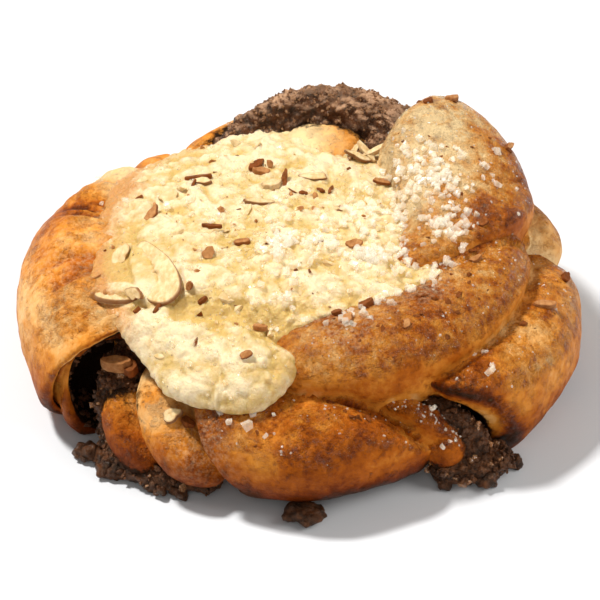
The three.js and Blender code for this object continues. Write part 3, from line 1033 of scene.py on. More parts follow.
@dataclass(frozen=True)
class Bits:
    """Many loose bits of one kind, made as one mesh.

    A bit is a box of 24 triangles whose corners are moved at random and whose six sides are
    raised a little in the middle.
    """

    size: Triple  # edges in millimetres
    uneven: float = 0.28  # how far a corner moves, as a share of the edge
    crown: float = 0.12  # how far the middle of a side is raised
    tilt: float = 3.0  # how far it is tipped off its surface's direction
    spread: tuple[float, float] = (0.5, 1.4)  # smallest and largest scale

    def build(
        self,
        name: str,
        places: Places,
        material: bpy.types.Material,
        chance: np.random.Generator,
    ) -> bpy.types.Object:
        """Make the bits.

        Args:
            name: Name of the piece.
            places: Where they lie.
            material: Their finish.
            chance: The random numbers.

        Returns:
            The piece, flat shaded.
        """
        count = len(places.points)
        corners = np.array(list(np.ndindex(2, 2, 2))) - 0.5
        sides = np.array([(0, 1, 3, 2), (4, 6, 7, 5), (0, 4, 5, 1), (2, 3, 7, 6), (0, 2, 6, 4), (1, 5, 7, 3)])
        moved = corners * (1 + self.uneven * chance.uniform(-1.6, 0.6, (count, 8, 3)))
        middles = moved[:, sides].mean(axis=2) * (1 + 2 * self.crown)
        shape = np.concatenate([moved, middles], 1)
        low, high = self.spread
        scale = low + (high - low) * chance.random((count, 1, 1)) ** 1.6
        scale = scale * chance.uniform(0.75, 1.25, (count, 1, 3))
        frames = turned_frames(places.normals, self.tilt, chance)
        points = np.einsum("nki,nij->nkj", shape * scale * np.array(self.size), frames)
        points = points + places.points[:, None]
        fans = [(side[k], side[(k + 1) % 4], 8 + n) for n, side in enumerate(sides) for k in range(4)]
        faces = np.array(fans)[None] + 14 * np.arange(count)[:, None, None]
        return mesh_piece(name, points.reshape(-1, 3), [faces.reshape(-1, 3)], material, smooth=False)


# The strands of the bun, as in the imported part

LOWER = {
    "shell": Strand(
        ((106, 40, 13.5, 11, 12), (130, 41, 14.5, 12, 13.5), (155, 42.8, 15.8, 13.6, 15),
         (182, 44.8, 16, 15, 15.5), (211.4, 45, 13.2, 14.8, 15.9)),
        caps=(10, 3), cups=(0, 10), wall=2.6, lean_end=(-0.1, 0.2),
    ),
    "second_layer": Strand(
        ((185, 45, 13.5, 11.5, 12.8), (198, 46.2, 12.6, 11, 13), (211.5, 46.6, 11.6, 10.6, 13.2)),
        cups=(0, 10), wall=3.6, lean=(0, -0.12),
    ),
    "first_roll": Strand(
        ((216, 41, 13, 4.6, 4.6), (222, 48.4, 11.4, 4.6, 4.8), (227.5, 50.2, 7.6, 4.8, 5),
         (236.5, 50.4, 4.4, 4.6, 4.6)),
        caps=(5, 5),
    ),
    "second_roll": Strand(
        ((227, 36, 14, 8, 6), (233.5, 43.3, 15, 8.2, 6.4), (242, 46.8, 9.8, 8.4, 6.4),
         (252, 44.8, 4.6, 7, 4.6)),
        caps=(6, 6),
    ),
    "front": Strand(
        ((251, 40.5, 11.3, 12.6, 11), (259, 41.2, 11.3, 13, 11.2), (271, 42, 11.2, 13.6, 11.2),
         (285, 40.3, 11.8, 13.2, 11.2), (303, 39.5, 12, 12.6, 10)),
        caps=(3.5, 3.5), lean=(0, -0.9),
    ),
    "tucked_roll": Strand(
        ((291, 37, 17, 4.6, 5), (298, 43.6, 15.2, 4.7, 5.3), (303.8, 48.4, 10.2, 4.7, 5.2),
         (308.6, 51.6, 4.6, 4.5, 4.6)),
        caps=(5, 5),
    ),
    "right_fold": Strand(
        ((309, 42.6, 8.2, 13.5, 15.8), (319, 43.4, 10.6, 14.2, 14.4), (331, 44.6, 12.6, 14.7, 13),
         (345, 45.2, 13, 14.5, 13), (361, 44.8, 13, 14, 12), (373, 43, 13, 12, 11)),
        caps=(4, 9), cups=(8, 0), wall=6.2, lean=(1.05, -0.2), lean_end=(0, -0.3),
    ),
    "short_strand": Strand(
        ((366, 44, 17.5, 11, 9), (375, 45.3, 18, 12.7, 9.5), (388, 44.5, 16, 13, 11),
         (402, 43, 13, 12, 11)),
        caps=(8, 8),
    ),
    "back_right": Strand(
        ((395, 41, 12, 13, 11), (410, 43, 12, 13.5, 11.5), (427, 43, 12, 13.5, 11.5),
         (444, 42, 12, 13, 11)),
        caps=(5, 5), lean=(0, -0.7),
    ),
    "back_left": Strand(
        ((436, 41, 12, 13, 11), (450, 42, 12, 13.5, 12), (464, 41, 12, 13, 12),
         (478, 40, 12, 12, 11)),
        caps=(5, 5), lean=(0, -0.7),
    ),
    "rear_wall": Strand(
        ((412, 43, 21, 7, 11), (435, 44.5, 23, 6, 12), (456, 44, 23, 6, 12),
         (475, 42.5, 20.5, 6, 11), (493, 41, 15.5, 6, 10)),
    ),
}
UPPER = {
    "crossing": Strand(
        ((252, 28, 16, 9, 9), (272, 31, 20.5, 10.5, 10.5), (294, 33.5, 22.5, 11.5, 11.5),
         (318, 35.5, 23, 11.5, 11.5), (343, 37.3, 23.5, 11.3, 11), (364, 38, 23, 11, 10.5)),
        caps=(9, 4),
    ),
    "high": Strand(
        ((341, 35.5, 28, 15, 8), (360, 35.5, 28, 15.5, 10.5), (380, 36.2, 29.2, 16, 13.4),
         (400, 38.6, 30.4, 14.7, 14.6), (416, 39.8, 30.6, 12.6, 13.4)),
        caps=(6, 6), lean=(1.2, 0), lean_end=(0, 0),
    ),
    "knot_end": Strand(
        ((62, 32, 28, 7, 7), (79, 32.5, 29, 8.5, 8), (97, 31.5, 28, 8, 7)), caps=(7, 7),
    ),
}
PASTE = {
    "rear_rim": Strand(
        ((402, 37, 29, 7, 12), (430, 40, 29.6, 6, 13), (452, 40.3, 27.7, 5.5, 13),
         (468, 38.8, 23.5, 5.5, 10.5), (480, 37.5, 18, 5, 8)),
    ),
    "hollow_coating": Strand(
        ((208, 34, 17, 4.5, 4.5), (216.5, 46, 14.5, 4.4, 4.2), (219, 49.4, 8.8, 3.2, 3.4),
         (221, 50.8, 3.8, 3, 3)),
        caps=(4, 4),
    ),
    "dark_roll": Strand(
        ((302, 33, 13, 4, 4.5), (308, 44, 13.2, 3.6, 3.9), (311.2, 49.8, 9.6, 3.6, 3.8),
         (314, 52.4, 4.2, 3.6, 3.6)),
        caps=(4, 4),
    ),
    "left_run": Strand(
        ((218, 34, 6, 4, 3.5), (221, 48, 3.4, 4.5, 3), (228, 51, 2.6, 4.5, 2.6),
         (239, 49.5, 2.4, 4, 2.4), (250, 47.5, 2.4, 3, 2)),
        caps=(4, 4),
    ),
    "right_run": Strand(
        ((303, 49, 3, 4, 2.6), (308, 51, 3, 4.4, 2.8), (314, 54, 3, 4.4, 2.8),
         (320, 55.5, 2.8, 3.4, 2.4)),
        caps=(4, 4),
    ),
}


@dataclass(frozen=True)
class Bake:
    """How one strand is baked and how its skin lies."""

    front: float = 0.5  # brownness at its first station
    back: float = 0.5  # and at its last
    # Under: brownness added towards the table, partly real browning at the tray, partly painted shade on the
    # low parts.
    under: float = 0.15  # added towards the table
    swell: float = 0.45  # height of its broad swells
    creases: float = 0.0  # depth of the wrinkles that run from the custard outwards
    glaze: float = 0.5  # how far what faces up is glazed
    lip: float = 0.15  # brownness added on the lip of a hollowed end
    paste: float = 0.7  # share of a lip's turn past which filling coats it
    drawn: float = 0.12  # height of the fine lines along it


@dataclass(frozen=True)
class Patch:
    """A soft round patch where a mark is raised or lowered."""

    mark: str
    at: Triple
    radius: float
    amount: float

    def over(self, points: np.ndarray) -> np.ndarray:
        """Its amount at each point: a bell curve of the distance."""
        away = np.linalg.norm(points - np.array(self.at), axis=-1)
        return self.amount * hump(away, 0, self.radius)


@dataclass
class Dough:
    """The strands of dough and the middle that they are wound round."""

    bakes: dict[str, Bake] = field(default_factory=lambda: {
        "shell": Bake(0.32, 0.35, under=0.15, creases=1.7, swell=0.7, glaze=0.12, lip=0.25, paste=0.72),
        "second_layer": Bake(0.56, 0.6, under=0.15, glaze=0.3, lip=0.05, paste=0.55),
        "first_roll": Bake(0.5, 0.62, glaze=0.4),
        "second_roll": Bake(0.28, 0.58, under=0.25, glaze=0.25),
        "front": Bake(0.52, 0.58, under=0.42, glaze=0.5),
        "tucked_roll": Bake(0.6, 0.68, glaze=0.8),
        "right_fold": Bake(0.36, 0.24, under=0.25, glaze=0.4, lip=0.5),
        "short_strand": Bake(0.12, 0.3, under=0.2, glaze=0.3),
        "back_right": Bake(0.5, 0.48, glaze=0.3),
        "back_left": Bake(0.46, 0.44, glaze=0.2),
        "rear_wall": Bake(0.42, 0.42, glaze=0.2),
        "crossing": Bake(0.5, 0.44, under=0.22, glaze=0.9),
        "high": Bake(0.44, 0.16, under=0.1, swell=0.8, glaze=0.75),
        "knot_end": Bake(0.38, -0.1, swell=0.8, glaze=0.25),
    })
    patches: tuple[Patch, ...] = (
        Patch("dust", (27, 4, 42), 11, 0.35),
        Patch("dust", (8, -31, 32), 8, 0.5),
        Patch("dust", (25, -20, 34), 6, 0.5),
        Patch("dust", (-20, -48, 16), 8, 0.3),
        Patch("bake", (20, 8, 40), 12, -0.35),
        Patch("bake", (29, 27, 44), 10, -0.36),
        Patch("glaze", (27, 19, 43), 13, 0.55),
        Patch("bake", (44, 10, 34), 5, 0.12),
        Patch("bake", (38, 22, 42), 4, 0.25),
        Patch("cream", (-4, 30, 36), 12.5, 0.95),
        Patch("bake", (26.6, 31, 43), 2.5, 0.5),
        Patch("bake", (37, 2, 38), 4, 0.3),
        Patch("bake", (24, -23, 33), 5, 0.2),
        Patch("bake", (-3, -40, 21), 6, 0.15),
        Patch("bake", (42, -24, 20), 10, -0.1),
        Patch("bake", (-45, -21, 26), 6, 0.2),
        Patch("glaze", (-45, -21, 26), 7, 0.5),
        Patch("bake", (-45, 13, 27), 5, 0.22),
        Patch("bake", (-36, 31, 27), 6, -0.2),
        Patch("cream", (-40.5, 26.5, 27), 7, 0.8),
        Patch("dust", (-50, -6, 22), 14, 0.3),
        Patch("bake", (-44, 17, 24), 9, 0.08),
        Patch("bake", (-27, -40, 19), 7, -0.2),
        Patch("cream", (-30, -42.5, 19), 5, 0.5),
        Patch("bake", (-30, -42.5, 19), 6, 0.04),
        Patch("smear_and_shade", (-33, -37, 17), 5, 0.45),
        Patch("smear_and_shade", (32, -38, 22), 5, 0.4),
    )
    core_radius: float = 41
    core_height: float = 26
    core_edge: float = 6

    def seams(self, name: str, points: np.ndarray, strands: dict[str, Strand]) -> np.ndarray:
        """Distance of the points of one strand to the nearest other strand.

        Args:
            name: The strand that is left out.
            points: Its points, (rows, sides, 3).
            strands: The strands that are measured.

        Returns:
            Millimetres, less than 0 inside another.
        """
        nearest = np.full(points.shape[:2], 50.0)
        for other, strand in strands.items():
            if other != name:
                nearest = np.minimum(nearest, strand.clearance(points))
        return nearest

    def dress(self, name: str, strand: Strand, bake: Bake) -> Skin:
        """Lay the relief on a strand and mark how it is baked and where painted shade darkens it.

        The height is a sum of broad swells, wrinkles that run outwards from the custard, fine
        lines along the strand, and a pinch where another strand touches.

        Args:
            name: The strand's name.
            strand: Its shape.
            bake: Its looks.

        Returns:
            The finished skin.
        """
        skin = strand.skin()
        p = skin.points
        seed = 1 + list(self.bakes).index(name)
        touch = self.seams(name, p, LOWER | UPPER)
        paste = self.seams(name, p, PASTE)
        azimuth = np.degrees(np.arctan2(p[..., 1], p[..., 0]))
        radius = np.hypot(p[..., 0], p[..., 1])
        fan = np.stack([azimuth * 0.55, radius * 0.12, p[..., 2] * 0.12], -1)
        lines = np.stack([azimuth * 0.09, radius, p[..., 2]], -1)
        inner = rise(-radius, -57, -47) * rise(p[..., 2], 14, 24)
        lift = bake.swell * swells(p, 13, seed)
        lift += 0.16 * swells(p, 3.4, seed + 20, 2)
        lift += bake.drawn * swells(lines, 1.9, seed + 40, 2)
        folds = bake.creases * inner * swells(fan, 2.2, 60, 2)
        lift += folds
        lift -= 0.9 * hump(np.maximum(touch, 0), 0, 1.3) * (touch > -1.5)
        lift *= rise(skin.marks["cover"], 0.0, 0.5)
        skin.push(lift)
        skin.points[..., 2] = np.maximum(skin.points[..., 2], 0)
        along = skin.marks["along"]
        level = bake.front + (bake.back - bake.front) * along
        # Browner towards the table: partly real browning, partly painted shade.
        level = level + bake.under * rise(-p[..., 2], -14, -2)
        # Raised places come out browner; the wrinkles' valleys and seams with a touching strand come out
        # darker, which is painted crease shade, partly real browning at the seams.
        level = level + 0.13 * swells(p, 11, seed + 5, 2) + 0.25 * (lift - folds) - 0.3 * np.minimum(folds, 0)
        level = level + 0.12 * hump(np.maximum(touch, 0), 0, 1.8)
        away = np.maximum(Custard().beyond(p), 0)
        border = rise(-p[..., 0], 20, 32) * rise(p[..., 2], 21, 27)
        level = level - 0.1 * hump(away, 0, 3.5) * border
        inset = skin.marks["inset"]
        level = level + bake.lip * hump(inset, 0.25, 0.22)
        # Filling smeared where it touches, and over the inside of a hollowed end, where it is also painted
        # shade of the deep hollow.
        smear_and_shade = 0.75 * hump(np.maximum(paste, 0), 0, 1.5) + 1.2 * rise(inset, bake.paste, bake.paste + 0.25)
        up = rise(skin.normals()[..., 2], 0.1, 0.7)
        glaze = bake.glaze * up + 0.2 * swells(p, 6, seed + 9, 2) * up + bake.lip * hump(inset, 0.25, 0.22)
        cream = 0.25 * hump(away, 0, 1.6) * border
        extra = {"bake": level, "smear_and_shade": smear_and_shade, "dust": 0 * level, "glaze": glaze, "cream": cream}
        for patch in self.patches:
            extra[patch.mark] = extra[patch.mark] + patch.over(p)
        for mark, value in extra.items():
            skin.mark(mark, value)
        return skin

    def core(self) -> Skin:
        """The middle of the bun: a disc with sloped edges, its baked underside slightly wavy.

        Returns:
            The skin, marked with bake and dust.
        """
        r, h, e = self.core_radius, self.core_height, self.core_edge
        corners = np.array([(0, 0), (r - e / 2, 0), (r, e / 2), (r, h - e), (r - e, h), (0, h)], float)
        steps = [np.linspace(a, b, 24, endpoint=False) for a, b in zip(corners[:-1], corners[1:])]
        profile = np.concatenate([*steps, corners[-1:]])[::-1]
        turn = np.linspace(0, math.tau, 240, endpoint=False)
        out = profile[:, :1]
        height = np.broadcast_to(profile[:, 1:], (len(profile), len(turn)))
        points = np.stack([out * np.cos(turn), out * np.sin(turn), height], -1)
        skin = Skin(points)
        bottom = rise(-points[..., 2], -2, -0.5)
        wave = swells(points, 9, 3, 3)
        skin.points = points + bottom[..., None] * np.array([0, 0, 0.35]) * np.maximum(wave, 0)[..., None]
        skin.mark("bake", 0.5 + 0.25 * bottom + 0.14 * wave)
        skin.mark("dust", 0.1 + 0 * wave)
        return skin

    def build(self) -> dict[str, Skin]:
        """Make every strand, and the middle.

        Returns:
            The strands' skins by name, for what lies on them.
        """
        material = Crust().make()
        skins = {}
        for name, strand in (LOWER | UPPER).items():
            skins[name] = self.dress(name, strand, self.bakes[name])
            deliver(skins[name].build(f"dough_{name}", material), "dough")
        deliver(self.core().build("dough_middle", material), "dough")
        return skins


@dataclass(frozen=True)
class Custard:
    """The pool of baked custard: a shallow body round a middle of its own.

    reach and rim are the radius and the height of its edge at equal turns from +X. Its height
    is top + (rim - top) * share³, where share runs from its middle to its rounded edge.
    """

    middle: tuple[float, float] = (-8, -5)
    reach: tuple[float, ...] = (
        36.5, 37.5, 40, 38, 41.5, 40.5, 41, 37.5, 36, 37.5, 35, 39.5, 39, 27.3, 30, 36,
    )
    rim: tuple[float, ...] = (
        36.5, 37, 36.5, 35.5, 34.5, 33, 32, 32, 32, 32, 29, 25, 25, 32.5, 34, 36,
    )
    top: float = 36.5
    floor: float = 22
    lip: float = 2.6
    puff_from: tuple[float, float] = (-33, -27)  # the step behind the puff along its front
    puff_to: tuple[float, float] = (-1, -37)
    puff_height: float = 2.4
    step_depth: float = 1.7
    dents: Spots = ((-13, -9, 8, 1.2), (-35, -12, 4, 0.9))
    browned: Spots = ((-36, 16, 4, 0.5),)
    # Spots painted yellower and darker: partly the custard's own yellow, partly painted shade.
    yellow_shade_spots: Spots = ((-36, -10, 7, 0.6), (-10, -38, 11, 0.6))
    rows: int = 122
    sides: int = 660

    def beyond(self, points: np.ndarray) -> np.ndarray:
        """How far points lie outside the outline of its edge, in plan.

        Args:
            points: Places in millimetres, (..., 3).

        Returns:
            Millimetres, less than 0 inside.
        """
        out = points[..., :2] - np.array(self.middle)
        turn = np.arctan2(out[..., 1], out[..., 0])
        return np.hypot(out[..., 0], out[..., 1]) - curve_round(self.reach, turn)

    def curds(self, points: np.ndarray) -> np.ndarray:
        """Height of the curds: rounded grains of two sizes, drawn out of shape by swells.

        Args:
            points: Places in millimetres, (..., 3).

        Returns:
            Millimetres.
        """
        warp = np.stack([swells(points, 4, seed) for seed in (31, 32, 33)], -1)
        large = pebbles(points + 1.2 * warp, 3.4, 41)
        small = pebbles(points + 0.7 * warp, 1.6, 42)
        patchy = 0.45 + 0.55 * rise(swells(points, 7, 43, 2), -0.4, 0.5)
        return 1.1 * (0.5 - large) + patchy * 0.75 * (0.5 - small)

    def skin(self) -> Skin:
        """Top, rounded lip and underside, with curds, puffs and dents laid on.

        Returns:
            The skin, marked with toast, and with low, which is partly painted shade.
        """
        turn = np.linspace(0, math.tau, self.sides, endpoint=False)
        reach = curve_round(self.reach, turn)
        rim = curve_round(self.rim, turn)
        ring = np.stack([np.cos(turn) * reach, np.sin(turn) * reach, 0 * turn], 1)
        front = hump(np.degrees(turn), 240, 42)
        reach = reach + (0.8 + front) * swells(ring, 8, 71, 2)
        tuck = hump((np.degrees(turn) + 180) % 360 - 180, 8, 42)
        reach = reach + 7 * tuck
        rim = rim - 5 * tuck
        left = hump(np.degrees(turn), 180, 50)
        rim = rim - 0.9 * left
        lip = self.lip * (0.75 + 0.45 * front - 0.3 * left)
        share = np.linspace(0, 1, self.rows) ** 0.8
        steep = np.arctan(3 * (self.top - rim) / (reach - lip))
        bend = np.linspace(0, 1, 21)[1:]
        under = np.linspace(1, 0, 7)[1:]
        x = np.concatenate([share, 0 * bend + 1, under])[:, None]
        arc = np.concatenate([0 * share, bend, 0 * under + 1])[:, None] * (math.pi - steep) + steep
        below = np.concatenate([0 * share, 0 * bend, 1 - under**2])[:, None]
        out = np.sin(arc) - np.sin(steep)
        drop = np.cos(steep) - np.cos(arc)
        radius = (reach - lip * (1 - np.sin(steep))) * x + lip * np.where(below > 0, 0, out)
        edge = rim - lip * (1 + np.cos(steep))
        height = self.top + (rim - self.top) * x**3 - lip * drop
        height = np.where(below > 0, edge + (np.minimum(edge, self.floor) - edge) * below, height)
        points = np.stack([
            self.middle[0] + radius * np.cos(turn),
            self.middle[1] + radius * np.sin(turn),
            height,
        ], -1)
        skin = Skin(points)
        top = np.broadcast_to(1 - below, height.shape) * rise(skin.normals()[..., 2], -0.6, 0.1)
        east = points[..., 0] - self.puff_from[0]
        north = points[..., 1] - self.puff_from[1]
        slope = np.array(self.puff_to) - np.array(self.puff_from)
        puff_length = np.linalg.norm(slope)
        slope = slope / puff_length
        far = east * slope[0] + north * slope[1]
        aside = north * slope[0] - east * slope[1] + 1.6 * swells(points, 6, 77, 2)
        puff = rise(-aside, -2.6, -0.2) * rise(far, -6, 3)
        puff = puff * rise(-far, -puff_length - 8, -puff_length + 3)
        clouds = np.sqrt(np.abs(swells(points, 11, 4))) + 0.35 * np.sqrt(np.abs(swells(points, 5, 5)))
        grains = self.curds(points)
        lift = clouds - 0.7 + 0.6 * swells(points, 15, 7) + 0.3 * swells(points, 2.6, 8, 3)
        behind = hump(aside, 4, 3) * rise(far, -4, 4) * rise(-far, -puff_length - 6, -puff_length)
        lift += self.puff_height * puff - self.step_depth * behind + grains
        lift -= spots_over(points, self.dents)
        for flake in SLICES:
            lift = flake.seat(points, lift)
        skin.push(lift * top)
        far_left = rise(-points[..., 0], 30, 45)
        toast = 0.03 + 0.55 * far_left + 0.12 * swells(points, 9, 9, 3)
        toast += 0.2 * rise(x, 0.8, 1.0) * (1 - front) + 0.7 * rise(x, 0.92, 1.0) * left
        skin.mark("toast", toast + spots_over(points, self.browned))
        # Low: yellower and darker in the spots, behind the puff, low down and between curds; partly its own
        # yellow, partly painted shade.
        hollow = spots_over(points, self.yellow_shade_spots) - 0.2 * puff
        hollow += 0.35 * behind + 0.5 * rise(-height, -30, -26)
        skin.mark("low", 0.16 - 0.22 * lift - 0.5 * grains + hollow)
        return skin

    def build(self) -> Skin:
        """Make the custard.

        Returns:
            Its skin, for what lies on it.
        """
        skin = self.skin()
        deliver(skin.build("custard_pool", Curd().make()), "custard")
        return skin


@dataclass(frozen=True)
class Filling:
    """The cinnamon filling: what wells out of the bun, the band inside it, and its crumbs."""

    band_radius: float = 34
    band_height: tuple[float, float] = (4, 19)
    band_thick: float = 2.6
    crumb_runs: tuple[tuple[float, float, float, float, int], ...] = (
        (217, 228, 55.6, 1.9, 9),
        (228, 244, 53.8, 1.7, 10),
        (304, 310, 54.4, 1.7, 5),
        (310, 321, 57.6, 1.7, 8),
    )  # azimuths, radius, size, number
    inward: float = 3.2
    outward: float = 0.4
    front_place: tuple[float, float, float, float] = (271, 53.5, 3, 1.7)
    seed: int = 7

    def dress(self, name: str, skin: Skin, clod: tuple[float, float], crumb: tuple[float, float]) -> Skin:
        """Make a skin crumbly: rounded clods, smaller crumbs and a fine grain pushed outwards.

        Args:
            name: The skin's name, which seeds its pattern.
            skin: The smooth skin.
            clod: Size and height of the clods.
            crumb: Size and height of the crumbs.

        Returns:
            The same skin, marked with where the lighter bloom lies, partly painted sheen.
        """
        p = skin.points
        seed = sum(name.encode()) % 97
        large = pebbles(p, clod[0], seed)
        small = pebbles(p, crumb[0], seed + 1)
        lift = clod[1] * (0.5 - large) + crumb[1] * (0.5 - small)
        lift += 0.4 * crumb[1] * swells(p, 1.1, seed, 2)
        skin.push(lift)
        skin.points[..., 2] = np.maximum(skin.points[..., 2], 0)
        up = skin.normals()[..., 2]
        right = 0.35 * rise(p[..., 0], 8, 20) * rise(p[..., 2], 24, 30)
        # Lighter on what faces up high, on the right and on raised clods, darker in crevices: partly a real
        # sugary bloom, partly painted sheen and painted shade.
        skin.mark("bloom_and_sheen", 0.8 * rise(up, 0.5, 0.95) * rise(p[..., 2], 22, 38) + right + 0.3 * lift)
        return skin

    def band(self) -> bpy.types.Object:
        """The ring of filling that runs right through the bun: a narrow upright section turned.

        Returns:
            The piece.
        """
        half = self.band_thick / 2
        low, high = self.band_height
        section = np.array([(-half, low), (half, low), (half, high), (-half, high)])
        turn = np.linspace(0, math.tau, 180, endpoint=False)[:, None]
        out = self.band_radius + section[:, 0]
        height = np.broadcast_to(section[:, 1], (len(turn), 4))
        points = np.stack([out * np.cos(turn), out * np.sin(turn), height], -1)
        here = np.arange(points.shape[0] * 4).reshape(-1, 4)
        ahead = np.roll(here, -1, axis=0)
        quads = np.stack([here, ahead, np.roll(ahead, -1, 1), np.roll(here, -1, 1)], -1)
        return mesh_piece("filling_band", points.reshape(-1, 3), [quads.reshape(-1, 4)], Spice().make())

    def crumb(
        self, size: float, place: Triple, number: int, wide: float = 1
    ) -> Skin:
        """One crumb: a rough ball of 20 by 28 points, wider along X by a factor.

        Args:
            size: Its radius before it is stretched.
            place: Its middle.
            number: Seeds its shape.
            wide: The factor.

        Returns:
            The crumb's skin.
        """
        tall = np.linspace(0, math.pi, 20)[:, None]
        turn = np.linspace(0, math.tau, 28, endpoint=False)
        ball = [np.sin(tall) * np.cos(turn), np.sin(tall) * np.sin(turn), np.cos(tall) + 0 * turn]
        turned = np.stack(ball, -1) @ turn_about((1, 0.3 * number, 1), number)
        stretch = 1 + 0.3 * np.sin(np.array([1, 2, 3]) * (number + 1))
        skin = Skin(turned * stretch * size * 0.85 * np.array([wide, 1, 1 / wide]) + np.array(place))
        return self.dress(f"crumb {number}", skin, (2.2, 1.6), (1.1, 0.6))

    def crumbs(self) -> list[Skin]:
        """The crumbs along both runs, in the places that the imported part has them.

        Returns:
            Their skins.
        """
        factor, step, period = DRAW_RULE
        state = self.seed
        skins = []
        for start, end, run_radius, run_size, count in self.crumb_runs:
            for k in range(count):
                drawn = []
                for _ in range(8):
                    state = (state * factor + step) % period
                    drawn.append(state / period)
                turn = math.radians(start + (end - start) * (k + drawn[0] * 0.7) / count)
                radius = run_radius - self.inward + (self.inward + self.outward) * drawn[1]
                size = run_size * (0.75 + 0.5 * drawn[2])
                place = (radius * math.cos(turn), radius * math.sin(turn), size * 0.7)
                skins.append(self.crumb(size, place, len(skins)))
        return skins

    def front_crumb(self) -> Skin:
        """The crumb that sticks to the foot of the front strand.

        Returns:
            Its skin.
        """
        azimuth, radius, size, height = self.front_place
        turn = math.radians(azimuth)
        place = (radius * math.cos(turn), radius * math.sin(turn), height)
        return self.crumb(0.92 * size, place, 6, 1.65)

    def build(self) -> dict[str, Skin]:
        """Make all of the filling.

        Returns:
            Its skins by name.
        """
        material = Spice().make()
        skins = {}
        for name, strand in PASTE.items():
            clod, crumb = ((4.6, 1.9), (1.4, 0.85)) if name == "rear_rim" else ((3.6, 1.3), (1.5, 0.8))
            skins[name] = self.dress(name, strand.skin(PASTE_GRAIN), clod, crumb)
            deliver(skins[name].build(f"filling_{name}", material), "cinnamon_filling")
        crumbs = self.crumbs()
        deliver(joined_piece("filling_crumbs", crumbs, material), "cinnamon_filling")
        deliver(self.front_crumb().build("front_crumb", material), "dough")
        deliver(self.band(), "cinnamon_filling")
        return skins


# What lies on the bun

def blade(
    half: tuple[float, float], thick: float, taper: float, rough: float, seed: int, sides: int
) -> tuple[np.ndarray, np.ndarray]:
    """A thin blade lying flat, slightly dished.

    Rows run from the middle of the top over a rounded edge to the middle of the bottom. The
    outline is an ellipse whose width is 1 - taper * cos(angle), made uneven by swells.

    Args:
        half: Half its length and width.
        thick: Its thickness.
        taper: How much fuller one end is.
        rough: How uneven the outline is.
        seed: Chooses another unevenness.
        sides: Points round it.

    Returns:
        The points, and their reach from the middle (0) to the edge (1).
    """
    steps = sides // 5
    top = np.linspace(0, 0.93, steps)
    bend = np.concatenate([0 * top, np.linspace(0, math.pi, 7), 0 * top + math.pi])
    share = np.concatenate([top, np.full(7, 0.93), top[::-1]])
    turn = np.linspace(0, math.tau, sides, endpoint=False)
    ring = np.stack([np.cos(turn), np.sin(turn), 0 * turn + seed], 1)
    outline = 1 + rough * swells(ring, 0.8, seed, 2)
    reach = share[:, None] + 0.07 * np.sin(bend)[:, None]
    x = half[0] * np.cos(turn) * reach * outline
    y = half[1] * np.sin(turn) * (1 - taper * np.cos(turn)) * reach * outline
    z = thick / 2 * np.cos(bend)[:, None] + 0.06 * half[0] * (reach**2 - 0.5) * np.cos(2 * turn)
    return np.stack([x, y, z], -1), np.broadcast_to(reach, x.shape)


@dataclass(frozen=True)
class Flake:
    """A sliced almond flake: a thin blade, fuller at one end."""

    node: str
    at: tuple[float, float]
    half: tuple[float, float]
    heading: float
    tilt: tuple[float, float]
    sunk: float = 1.15  # how far it has sunk into the curds
    cover: float = 1.9  # height of the curds over its far half
    thick: float = 1.2
    taper: float = 0.28

    def seat(self, points: np.ndarray, lift: np.ndarray) -> np.ndarray:
        """Level the curds under the flake and draw them over its far half.

        Args:
            points: The custard's points.
            lift: How far they are pushed out.

        Returns:
            The changed lift.
        """
        turn = math.radians(self.heading)
        east, north = points[..., 0] - self.at[0], points[..., 1] - self.at[1]
        long = (east * math.cos(turn) + north * math.sin(turn)) / self.half[0]
        wide = (north * math.cos(turn) - east * math.sin(turn)) / self.half[1]
        near = rise(-np.hypot(long, wide), -1.3, -1.0)
        level = self.cover * rise(wide, -0.15, 0.25) + 1.1 * rise(-long, 0.75, 1.0) + 0.15 * lift - 0.3
        return lift * (1 - near) + level * near

    def build(self, material: bpy.types.Material) -> bpy.types.Object:
        """Make the flake in the middle of its solid's box.

        Args:
            material: Its finish.

        Returns:
            The piece.
        """
        low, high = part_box(self.node)
        middle = (np.array(low) + np.array(high)) / 2 / MM - np.array([0, 0, self.sunk])
        flat, reach = blade(self.half, self.thick, self.taper, 0.04, 3, 220)
        fibres = np.stack([flat[..., 0] + 0.45 * flat[..., 1], 0.2 * flat[..., 1], 0 * reach], -1)
        across, along = math.radians(self.tilt[0]), math.radians(self.tilt[1])
        turned = flat @ turn_about((1, 0, 0), across).T @ turn_about((0, 1, 0), along).T
        points = turned @ turn_about((0, 0, 1), math.radians(self.heading)).T
        skin = Skin(points - (points.min(axis=(0, 1)) + points.max(axis=(0, 1))) / 2 + middle)
        skin.push(0.24 * swells(fibres, 0.8, 3, 2) * rise(-reach, -0.93, -0.8))
        skin.mark("rim", rise(reach, 0.93, 0.99))
        return deliver(skin.build(f"{self.node}_slice", material), self.node)


SLICES = (
    Flake("almond_flake_large", (-29.4, -16.4), (10.2, 4.2), 109, (-24, -3), 1.6, 0.9),
    Flake("almond_flake_small", (-37.6, -20.4), (4.5, 2.6), -18, (-20, -4), 1.6, 0.8),
)


@dataclass(frozen=True)
class Chip:
    """A bit of almond in a place of its own: edges, heading and tip in degrees."""

    kind: Nut
    at: tuple[float, float]
    size: Triple
    heading: float = 0
    tip: float = 10
    lift: float = 0.1
    on: str = "custard"
    height: float | None = None  # of its middle, where it does not lie on a skin


